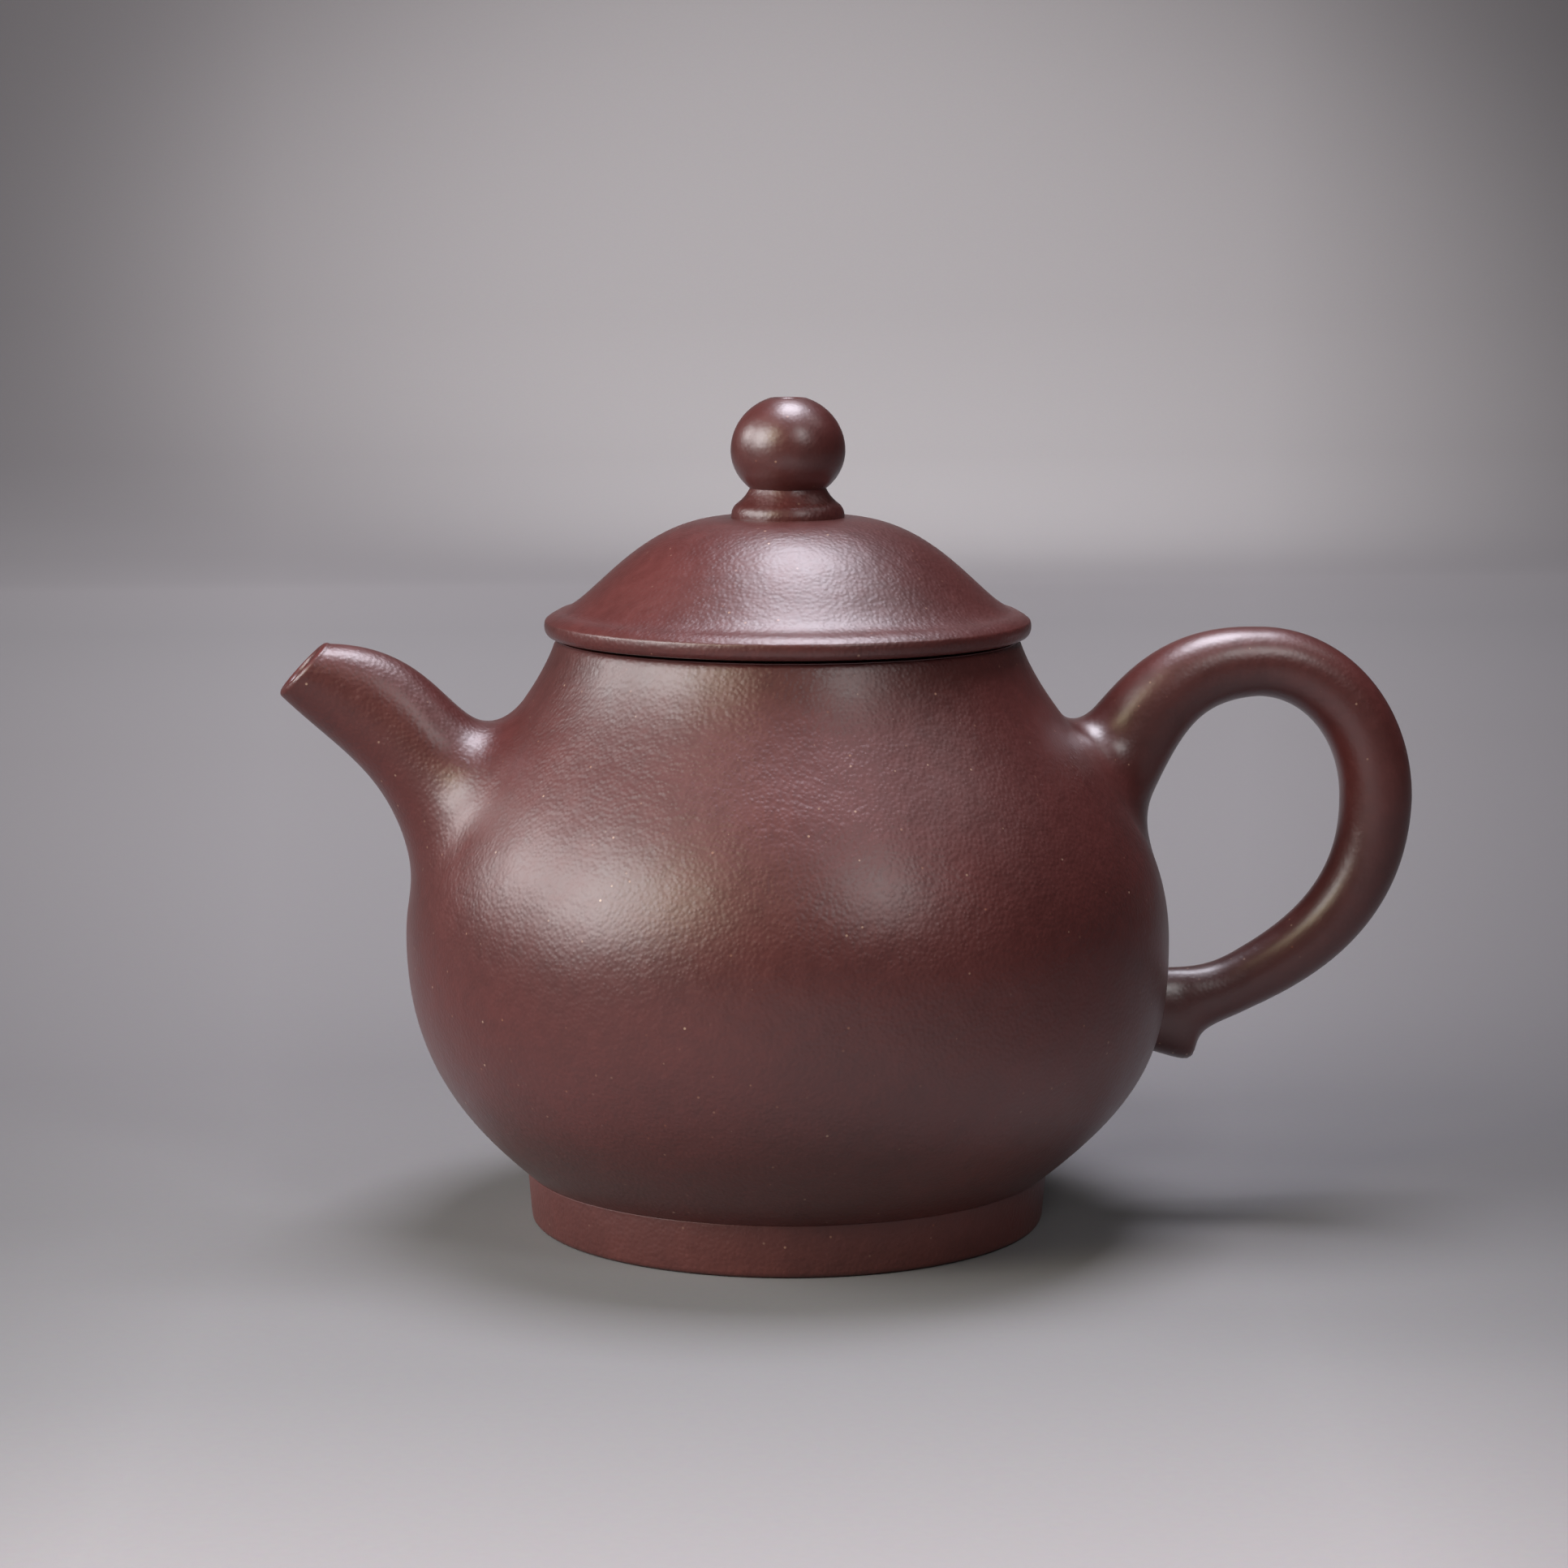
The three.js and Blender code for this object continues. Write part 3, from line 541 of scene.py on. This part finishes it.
# %% Skins
def skin(name, rows, body, *nodes, closed):
    """Joins rings of long-line points. A closed skin joins its last ring to its first."""
    count = len(rows)
    points = [tuple(p) for row in rows for p in row]
    faces = []
    for i in range(count if closed else count - 1):
        j = (i + 1) % count
        for k in range(SIDES):
            n = (k + 1) % SIDES
            faces.append((i * SIDES + k, i * SIDES + n, j * SIDES + n, j * SIDES + k))
    if not closed:
        faces.append(tuple(range(SIDES))[::-1])
        faces.append(tuple(range((count - 1) * SIDES, count * SIDES)))
    return make_piece(name, points, faces, body, *nodes)


# %% [markdown]
# ## The spout
# The spout lies between two lines seen from the side: a back line that dips to a saddle at the
# shoulder, and a belly line that sweeps out of the pot. It is nearly round at the lip and widens
# towards the root. The lip is cut slanting and smoothed over with a finger, so it is a round
# edge about as thick as the wall.

# %% Spout
# Offsets from one point to another are in millimetres, out from the pot's axis and up.
SPOUT_STEPS = 90
LIP_HALF_WIDTH, MIDDLE_HALF_WIDTH, ROOT_HALF_WIDTH = 3.5, 5.7, 9.5
mirror = np.array([-1, 1])
lip_low = np.array([-(BELLY_RADIUS + 12.9), MOUTH_HEIGHT - 5.6])
lip_high = lip_low + (5.2, 5.5)
saddle = belly_at(MOUTH_HEIGHT - 7.3, 1.8)[0] * mirror
toe = belly_at(32.5, 1.8)[0] * mirror
spout_back = bezier(lip_high, lip_high + (13.4, -0.5), saddle + (-9.2, -3.9), saddle, SPOUT_STEPS)
spout_under = bezier(lip_low, lip_low + (7.8, -7.7), toe + (-1.7, 16.8), toe, SPOUT_STEPS)
t = np.linspace(0, 1, SPOUT_STEPS)
spout_half = ((1 - t) ** 2 * LIP_HALF_WIDTH + 2 * t * (1 - t) * MIDDLE_HALF_WIDTH
              + t * t * ROOT_HALF_WIDTH)
spout_lines = [section((h + l) / 2, (h - l) / 2, w) for h, l, w in zip(spout_back, spout_under, spout_half)]
spout_skin = rooted(spout_lines, around(4.4, 5.7, 2.0), around(3.4, 3.0, 2.5), rings=56)

# %% Spout bore and lip
BORE_STEPS, ROOT_BORE, LIP_BORE, LIP_ROUND = 24, 5.1, 2.3, 0.5
root, root_out = strainer_place * mirror, strainer_out * mirror
tip, lip_half = (lip_low + lip_high) / 2, (lip_high - lip_low) / 2
tip_out = np.array([-lip_half[1], lip_half[0]]) / np.linalg.norm(lip_half)
bore_line = bezier(root - root_out, root + root_out * 5,
                   tip - tip_out * 8, tip - tip_out * 0.5, BORE_STEPS)
same_way = (SIDES // 2 - np.arange(SIDES)) % SIDES
bore = [ring[same_way] for ring in tube(bore_line, np.linspace(ROOT_BORE, LIP_BORE, BORE_STEPS))]
inner_lip = section(tip, lip_half / np.linalg.norm(lip_half) * LIP_BORE, LIP_BORE)
lip = []
for a in np.linspace(math.pi, 0, 13)[:-1]:
    mix = (1 - math.cos(a)) / 2
    ring = spout_skin[0] * (1 - mix) + inner_lip * mix
    lip.append(ring + np.array([tip_out[0], 0, tip_out[1]]) * LIP_ROUND * math.sin(a))
spout = skin("spout_clay", np.array(bore + lip + list(spout_skin)), "pot", "spout", closed=True)

# %% [markdown]
# ## The handle
# The handle is one rolled coil, thickest where it grows out of the shoulder, nearly even round
# its back, and a little thinner at its lower end. There the coil is pressed on and its end
# turned down along the wall as a short tail. So it is drawn as one row of sections from shoulder
# to tail, and both its ends are rooted on the belly.

# %% Handle
LEG_STEPS, COIL_SQUARENESS, TAIL_HALF = 50, 2.05, 3.2
crest = np.array([BELLY_RADIUS + 10.4, MOUTH_HEIGHT - 3.25])
back = np.array([BELLY_RADIUS + 24.0, 45.0])
handle_root = belly_at(MOUTH_HEIGHT - 15.2, 1.8)[0]

# Each leg has its four control points, its half thickness at both ends, and a flare at its start.
legs = [
    (handle_root, handle_root + (5.1, 4.05), crest - (12.0, 0), crest, 5.5, 3.8, 1.9),
    (crest, crest + (7.6, 0), back + (0, 8.5), back, 3.8, 3.97, 0),
    (back, back - (0, 12.2), (56.3, 27.75), (50.85, 25.05), 3.97, TAIL_HALF, 0),
]
coil = []
for a, b, c, d, from_half, to_half, flare in legs:
    t = np.linspace(0, 1, LEG_STEPS)
    halves = from_half + (to_half - from_half) * t + flare * (1 - t) ** 8
    leg = tube(bezier(a, b, c, d, LEG_STEPS), halves, COIL_SQUARENESS)
    coil += leg[1:] if coil else leg


# %% Handle tail
def cut_corners(points, times=3):
    """Cuts the corners of a line again and again, which turns it into a smooth curve."""
    for _ in range(times):
        near = points[:-1] * 0.75 + points[1:] * 0.25
        far = points[:-1] * 0.25 + points[1:] * 0.75
        middle = np.stack([near, far], 1).reshape(-1, 2)
        points = np.vstack([points[:1], middle[1:-1], points[-1:]])
    return points


# The tail's upper and lower line, seen from the side, as distances from the axis and heights.
tail_top = cut_corners(np.array([
    (48.6, 27.52), (47.6, 27.1), (46.5, 26.8), (45.5, 26.63), (44.6, 26.54), (44.0, 26.51), (43.5, 26.5),
    (42.9, 26.5), (42.2, 26.5), (41.0, 26.5), (39.0, 26.5), (36.5, 26.5)]))
tail_low = cut_corners(np.array([
    (51.3, 21.75), (50.1, 21.2), (48.1, 20.4), (46.9, 19.8), (46.1, 19.2), (45.6, 18.4), (45.35, 17.5),
    (45.1, 16.6), (44.5, 16.2), (43.2, 16.4), (41.0, 17.1), (36.0, 18.6)]))
for high, low in zip(tail_top, tail_low):
    coil.append(section((high + low) / 2, (low - high) / 2, TAIL_HALF, COIL_SQUARENESS))
coil = np.array(coil)
print("coil and tail", len(coil), "sections")

# %% Both roots of the handle
# The coil is rooted in two parts, which meet at this section at its back.
HALF_WAY = 74
upper_part = rooted(coil[:HALF_WAY + 1][::-1], around(3.6, 3.8, 1.0), around(3.0, 4.6, 1.0), rings=70)
lower_part = rooted(coil[HALF_WAY:], around(0.9, 0.9), around(0.9, 0.9), rings=110)
handle_rows = np.concatenate([upper_part[::-1], lower_part[1:]])
handle = skin("handle_coil", handle_rows, "pot", "handle", closed=False)

# %% [markdown]
# ## Burnished stoneware
# The clay is an iron-rich purple stoneware fired bare. Its maker rubs the damp skin with a horn
# tool, which lays the grains flat: the surface keeps a fine lumpy grain, but gets the soft
# sheen of worn leather. Up close there are pale and rusty specks of unground rock. The clay's
# own colour runs between two shades in slow clouds, and a finer mottle varies its shine too.

# %% Colour and node helpers
def linear(code):
    """An sRGB hex colour as the linear values that the renderer works in."""
    parts = [int(code[i:i + 2], 16) / 255 for i in (1, 3, 5)]
    return (*[v / 12.92 if v <= 0.04045 else ((v + 0.055) / 1.055) ** 2.4 for v in parts], 1)


def add(tree, kind, settings=(), links=()):
    """Adds a node. Settings are its properties or unlinked inputs, links the outputs that feed it."""
    made = tree.nodes.new("ShaderNode" + kind)
    for key, value in dict(settings).items():
        if isinstance(key, int) or key in made.inputs:
            made.inputs[key].default_value = value
        else:
            setattr(made, key, value)
    for key, output in dict(links).items():
        tree.links.new(output, made.inputs[key])
    return made


def per_mm(size):
    """The scale that makes a pattern repeat about every so many millimetres."""
    return 1000 / size


# %% Clouded colour
# Widths are in millimetres. The mottle counts MOTTLE_SHARE as much as the clouds do.
CLOUD_WIDTH, MOTTLE_WIDTH, MOTTLE_SHARE = 26, 1.6, 0.45


def clouded(tree, place, dark, light):
    """The clay's colour between two shades, and the fine mottle that is part of it."""
    clouds = add(tree, "TexNoise", {"Scale": per_mm(CLOUD_WIDTH), "Detail": 3, "Roughness": 0.55},
                 {"Vector": place})
    mottle = add(tree, "TexNoise", {"Scale": per_mm(MOTTLE_WIDTH), "Detail": 4, "Roughness": 0.6},
                 {"Vector": place})
    both = add(tree, "Math", {"operation": "MULTIPLY_ADD", 1: MOTTLE_SHARE},
               {0: mottle.outputs["Fac"], 2: clouds.outputs["Fac"]})
    spread = add(tree, "MapRange", {"From Min": 0.5, "From Max": 0.98}, {"Value": both.outputs[0]})
    clay = add(tree, "Mix", {"data_type": "RGBA", 6: linear(dark), 7: linear(light)},
               {0: spread.outputs["Result"]})
    return clay.outputs[2], mottle.outputs["Fac"]


# %% Specks of rock
# One speck may stand in each cell of SPECK_SPACING millimetres, about 0.25 mm wide. Many real
# ones are finer, too fine to show, so only the larger ones are drawn.
SPECK_SPACING = 1.6
RUSTY_ROCK, PALE_ROCK = "#8a4a32", "#c9a78f"


def specked(tree, place, clay):
    """The clay's colour with its specks."""
    flecks = add(tree, "TexVoronoi", {"Scale": per_mm(SPECK_SPACING)}, {"Vector": place})
    near = add(tree, "MapRange", {"From Min": 0.06, "From Max": 0.1, "To Min": 1, "To Max": 0},
               {"Value": flecks.outputs["Distance"]})
    kinds = add(tree, "SeparateColor", {}, {"Color": flecks.outputs["Color"]})
    chosen = add(tree, "MapRange", {"From Min": 0.35, "From Max": 1, "To Max": 0.9},
                 {"Value": kinds.outputs["Red"]})
    often = add(tree, "Math", {"operation": "MULTIPLY"},
                {0: near.outputs["Result"], 1: chosen.outputs["Result"]})
    rock = add(tree, "Mix", {"data_type": "RGBA", 6: linear(RUSTY_ROCK), 7: linear(PALE_ROCK)},
               {0: kinds.outputs["Green"]})
    flecked = add(tree, "Mix", {"data_type": "RGBA"},
                  {0: often.outputs[0], 6: clay, 7: rock.outputs[2]})
    return flecked.outputs[2]


# %% Lumpy grain
# All in millimetres. The tool leaves the faint waves, and the grains lie on them.
GRAIN_WIDTH, WAVE_WIDTH, WAVE_DEPTH = 0.45, 5, 0.25


def grained(tree, place, depth):
    """The surface of the clay, as a normal: grains round on top, with creases between them."""
    lumps = add(tree, "TexVoronoi", {"feature": "SMOOTH_F1", "Scale": per_mm(GRAIN_WIDTH),
                                     "Smoothness": 0.7}, {"Vector": place})
    waves = add(tree, "TexNoise", {"Scale": per_mm(WAVE_WIDTH), "Detail": 2}, {"Vector": place})
    raised = add(tree, "Bump", {"Strength": 1, "Distance": WAVE_DEPTH / 1000},
                 {"Height": waves.outputs["Fac"]})
    grain = add(tree, "Bump", {"Strength": 1, "Distance": depth / 1000, "invert": True},
                {"Height": lumps.outputs["Distance"], "Normal": raised.outputs["Normal"]})
    return grain.outputs["Normal"]


# %% [markdown]
# ## One clay, four finishes
# Body and lid are burnished, handle and knob are rubbed smoother still by the hand, the foot is
# only trimmed, and the inside is left as it was joined. All four share one pattern of grain and
# specks, and differ in colour, roughness and the depth of the grain. Fired clay is mostly quartz
# and glassy melt, with an IOR of about 1.55. What rubbing adds is a closed skin that shines a
# little more than the clay under it, so it is laid on as a coat.

# %% Stoneware material
# A finish is smoother or rougher than its own roughness in places, with the mottle, and its
# rubbed skin is smoother than the clay under it.
CLAY_IOR = 1.55
SMOOTHER, ROUGHER, SKIN_SMOOTHER = 0.03, 0.04, 0.06


def stoneware(name, dark, light, roughness, grain_depth, skin_weight):
    """Unglazed stoneware. Grain depth is in millimetres, skin weight the share of the rubbed skin."""
    material = bpy.data.materials.new(name)
    material.use_nodes = True
    tree = material.node_tree
    tree.nodes.clear()
    place = add(tree, "TexCoord").outputs["Object"]
    clay, mottle = clouded(tree, place, dark, light)
    sheen = add(tree, "MapRange", {"From Min": 0.3, "From Max": 0.7, "To Min": roughness - SMOOTHER,
                                   "To Max": roughness + ROUGHER}, {"Value": mottle})
    shader = add(tree, "BsdfPrincipled", {
        "IOR": CLAY_IOR,
        "Coat Weight": skin_weight,
        "Coat IOR": CLAY_IOR,
        "Coat Roughness": roughness - SKIN_SMOOTHER,
    }, {
        "Base Color": specked(tree, place, clay),
        "Roughness": sheen.outputs["Result"],
        "Normal": grained(tree, place, grain_depth),
    })
    add(tree, "OutputMaterial", {}, {"Surface": shader.outputs[0]})
    return material


burnished = stoneware("burnished_purple_stoneware", "#4f201d", "#672b27", 0.43, 0.06, 0.7)
handled = stoneware("handled_purple_stoneware", "#50221f", "#672d29", 0.41, 0.03, 1.0)
trimmed = stoneware("trimmed_purple_stoneware", "#5a2b27", "#6f3731", 0.52, 0.05, 0.3)
bare = stoneware("unburnished_purple_stoneware", "#5b3d3b", "#70504c", 0.7, 0.15, 0.0)
for clay in (burnished, handled, trimmed, bare):
    print(clay.name, len(clay.node_tree.nodes), "nodes")


# %% Give each piece its clay
def finish(piece, clay):
    """Sets a piece's material."""
    piece.data.materials.clear()
    piece.data.materials.append(clay)


finish(foot, trimmed)
finish(pot_wall, burnished)
finish(spout, burnished)
finish(handle, handled)
for piece in (lid_rim, lid_dome, knob_seat):
    finish(piece, burnished)
finish(knob, handled)
finish(lid_collar, bare)
finish(strainer, bare)

# %% [markdown]
# ## Table and backdrop
# The pot stands on a sheet of matt grey paper that runs back and curves up behind it, so no edge
# shows. The lamps of a real set leave such a sheet paler in some places than in others. Here that
# light and shade is painted into the paper's own colour, because one more lamp for each pale place
# would light the pot too: a ramp from the front of the sheet to its back paints paler light in
# front and far behind, and painted shade where the pot stands, and a painted shade fades to both
# sides.

# %% Paper sweep
# All in metres: where the sheet begins, where its bend starts, the bend's radius, its upper end,
# and half its width.
SHEET_FRONT, SHEET_BACK, SHEET_BEND, SHEET_TOP, SHEET_SIDE = -0.9, 0.75, 0.5, 2.2, 1.6
sweep_line = [(SHEET_FRONT, 0.0), (SHEET_BACK, 0.0)]
for a in np.linspace(0, math.pi / 2, 16)[1:]:
    sweep_line.append((SHEET_BACK + SHEET_BEND * math.sin(a), SHEET_BEND - SHEET_BEND * math.cos(a)))
sweep_line.append((SHEET_BACK + SHEET_BEND, SHEET_TOP))
sweep_mesh = bpy.data.meshes.new("paper_sweep")
sweep_mesh.from_pydata(
    [(x, y, z) for y, z in sweep_line for x in (-SHEET_SIDE, SHEET_SIDE)], [],
    [(2 * i, 2 * i + 1, 2 * i + 3, 2 * i + 2) for i in range(len(sweep_line) - 1)])
sweep_mesh.shade_smooth()
sweep = bpy.data.objects.new("paper_sweep", sweep_mesh)
bpy.context.scene.collection.objects.link(sweep)
print("sheet", 2 * SHEET_SIDE, "m wide, in", len(sweep_line) - 1, "strips")

# %% Painted light and shade from front to back
# The ramp runs between two distances behind the origin, in metres. Its colours are painted light
# and shade: darkest under the pot and just behind it, paler in front of it and again far back,
# where the floor bends up. Its first and last shade belong to the ramp's own two stops, and the
# others are added between them.
PAINTED_SHADE_FROM, PAINTED_SHADE_TO = -0.2, 1.2
FIBRE_WIDTH, FIBRE_SHARE = 0.9, 0.08
PAINTED_LIGHT_AND_SHADE = ((0.055, "#b0abac"), (0.1, "#949293"), (0.15, "#848283"), (0.2, "#827f81"), (0.42, "#9a9697"),
          (0.58, "#aeaaab"), (0.66, "#c0bbbc"), (0.73, "#b6b1b2"), (0.79, "#a6a1a2"), (0.86, "#9f9a9b"))
paper = bpy.data.materials.new("grey_paper_painted_light_and_shade")
paper.use_nodes = True
tree = paper.node_tree
tree.nodes.clear()
place = add(tree, "TexCoord").outputs["Object"]
fibre = add(tree, "TexNoise", {"Scale": per_mm(FIBRE_WIDTH), "Detail": 4}, {"Vector": place})
depth = add(tree, "SeparateXYZ", {}, {"Vector": place})
along = add(tree, "MapRange", {"From Min": PAINTED_SHADE_FROM, "From Max": PAINTED_SHADE_TO}, {"Value": depth.outputs["Y"]})
shade = add(tree, "ValToRGB", {}, {"Fac": along.outputs["Result"]})
ramp = shade.color_ramp.elements
ramp[0].position, ramp[0].color = PAINTED_LIGHT_AND_SHADE[0][0], linear(PAINTED_LIGHT_AND_SHADE[0][1])
ramp[1].position, ramp[1].color = PAINTED_LIGHT_AND_SHADE[-1][0], linear(PAINTED_LIGHT_AND_SHADE[-1][1])
for where, code in PAINTED_LIGHT_AND_SHADE[1:-1]:
    ramp.new(where).color = linear(code)

# %% Painted shade to the sides
# A painted shade darkens the sheet to both sides of the line that the picture is taken along,
# farther out with each step back: what counts is how far a place is from that line, divided by how
# far it is behind the pot plus FADE_NEAR.
FADE_ASIDE, FADE_NEAR, FADE_FROM, FADE_TO, FADE_LEAST = 0.012, 0.45, 0.12, 0.32, 0.35
middle_line = add(tree, "Math", {"operation": "MULTIPLY_ADD", 1: math.tan(CAMERA_TURN)},
                  {0: depth.outputs["Y"], 2: depth.outputs["X"]})
aside = add(tree, "Math", {"operation": "ADD", 1: FADE_ASIDE}, {0: middle_line.outputs[0]})
width = add(tree, "Math", {"operation": "ABSOLUTE"}, {0: aside.outputs[0]})
behind = add(tree, "Math", {"operation": "MAXIMUM", 1: 0}, {0: depth.outputs["Y"]})
reach = add(tree, "Math", {"operation": "ADD", 1: FADE_NEAR}, {0: behind.outputs[0]})
slant = add(tree, "Math", {"operation": "DIVIDE"}, {0: width.outputs[0], 1: reach.outputs[0]})
fade = add(tree, "MapRange", {"From Min": FADE_FROM, "From Max": FADE_TO, "To Min": 1,
                              "To Max": FADE_LEAST}, {"Value": slant.outputs[0]})
paper_painted_colour = add(tree, "Mix", {"data_type": "RGBA", 6: linear("#000000")},
            {0: fade.outputs["Result"], 7: shade.outputs["Color"]})
tone = add(tree, "Mix", {"data_type": "RGBA", "blend_type": "MULTIPLY", 0: FIBRE_SHARE},
           {6: paper_painted_colour.outputs[2], 7: fibre.outputs["Color"]})
shader = add(tree, "BsdfPrincipled", {"Roughness": 0.9, "IOR": 1.45}, {"Base Color": tone.outputs[2]})
add(tree, "OutputMaterial", {}, {"Surface": shader.outputs[0]})
sweep_mesh.materials.append(paper)
print(paper.name, len(tree.nodes), "nodes,", len(ramp), "shades")

# %% [markdown]
# ## Light
# Soft boxes light the pot, and each shows as its own soft patch on the clay. The largest stands
# to the left in front and makes the broad patch on the belly, with a narrow warm one beside it.
# A third is farther round to the left and lights the spout and the left edge. The strongest
# hangs above and a little behind the pot, for the lid, the shoulder and the handle's crest. Two
# weak ones on the right give the dim patch on the belly and the light on the handle's back.

# %% Soft boxes
BOX_DISTANCE, AIM_HEIGHT = 0.9, 0.045


def soft_box(name, azimuth, elevation, width, height, power, colour="#ffffff"):
    """A panel aimed at the pot, with its sides in metres and its power in watts.

    Azimuth and elevation are in degrees, azimuth from straight in front to the right.
    """
    lamp = bpy.data.lights.new(name, "AREA")
    lamp.shape = "RECTANGLE"
    lamp.size, lamp.size_y = width, height
    lamp.energy = power
    lamp.color = linear(colour)[:3]
    a, e = math.radians(azimuth), math.radians(elevation)
    box = bpy.data.objects.new(name, lamp)
    box.location = (
        AXIS_X / 1000 + BOX_DISTANCE * math.cos(e) * math.sin(a),
        -BOX_DISTANCE * math.cos(e) * math.cos(a),
        AIM_HEIGHT + BOX_DISTANCE * math.sin(e),
    )
    box.rotation_euler = (math.pi / 2 - e, 0, a)
    bpy.context.scene.collection.objects.link(box)
    print(name, power, "W")


FACING = math.degrees(CAMERA_TURN)
soft_box("left_box", FACING - 62, 28, 0.44, 0.48, 5.6)
soft_box("left_warm_box", FACING - 37, 35, 0.12, 0.4, 1.1, "#fff0c0")
soft_box("side_box", FACING - 97, 25, 0.26, 0.26, 2.1)
soft_box("top_box", FACING - 18, 101, 0.42, 0.5, 7.8, "#f4f3ff")
soft_box("right_box", FACING + 32, 39, 0.18, 0.26, 1.3)
soft_box("right_rim_box", FACING + 95, 55, 0.3, 0.3, 0.3)

# %% [markdown]
# ## Backdrop lamp and room
# One small lamp stands behind the pot, above the picture, and shines back and down. It brightens
# the middle of the backdrop only. The room itself adds very little light, from all sides.

# %% Backdrop lamp
# Places are in metres from the pot's axis, along the camera's line and aside from it.
SPOT_BEHIND, SPOT_ASIDE, SPOT_HEIGHT, SPOT_TILT = 0.62, 0.03, 0.62, math.radians(37)
spot = bpy.data.lights.new("backdrop_spot", "SPOT")
spot.energy = 13.5
spot.spot_size = math.radians(54)
spot.spot_blend = 1
spot.shadow_soft_size = 0.05
backdrop_spot = bpy.data.objects.new("backdrop_spot", spot)
backdrop_spot.location = (
    AXIS_X / 1000 + SPOT_ASIDE - SPOT_BEHIND * math.sin(CAMERA_TURN),
    SPOT_BEHIND * math.cos(CAMERA_TURN),
    SPOT_HEIGHT,
)
backdrop_spot.rotation_euler = (SPOT_TILT, 0, CAMERA_TURN)
bpy.context.scene.collection.objects.link(backdrop_spot)
print("backdrop lamp", spot.energy, "W")

# %% Room light
world = bpy.data.worlds.new("studio")
world.use_nodes = True
world.node_tree.nodes["Background"].inputs["Color"].default_value = linear("#d8d8dc")
world.node_tree.nodes["Background"].inputs["Strength"].default_value = 0.03
bpy.context.scene.world = world
bpy.context.scene.view_settings.view_transform = "Standard"
print("room light", round(world.node_tree.nodes["Background"].inputs["Strength"].default_value, 3))
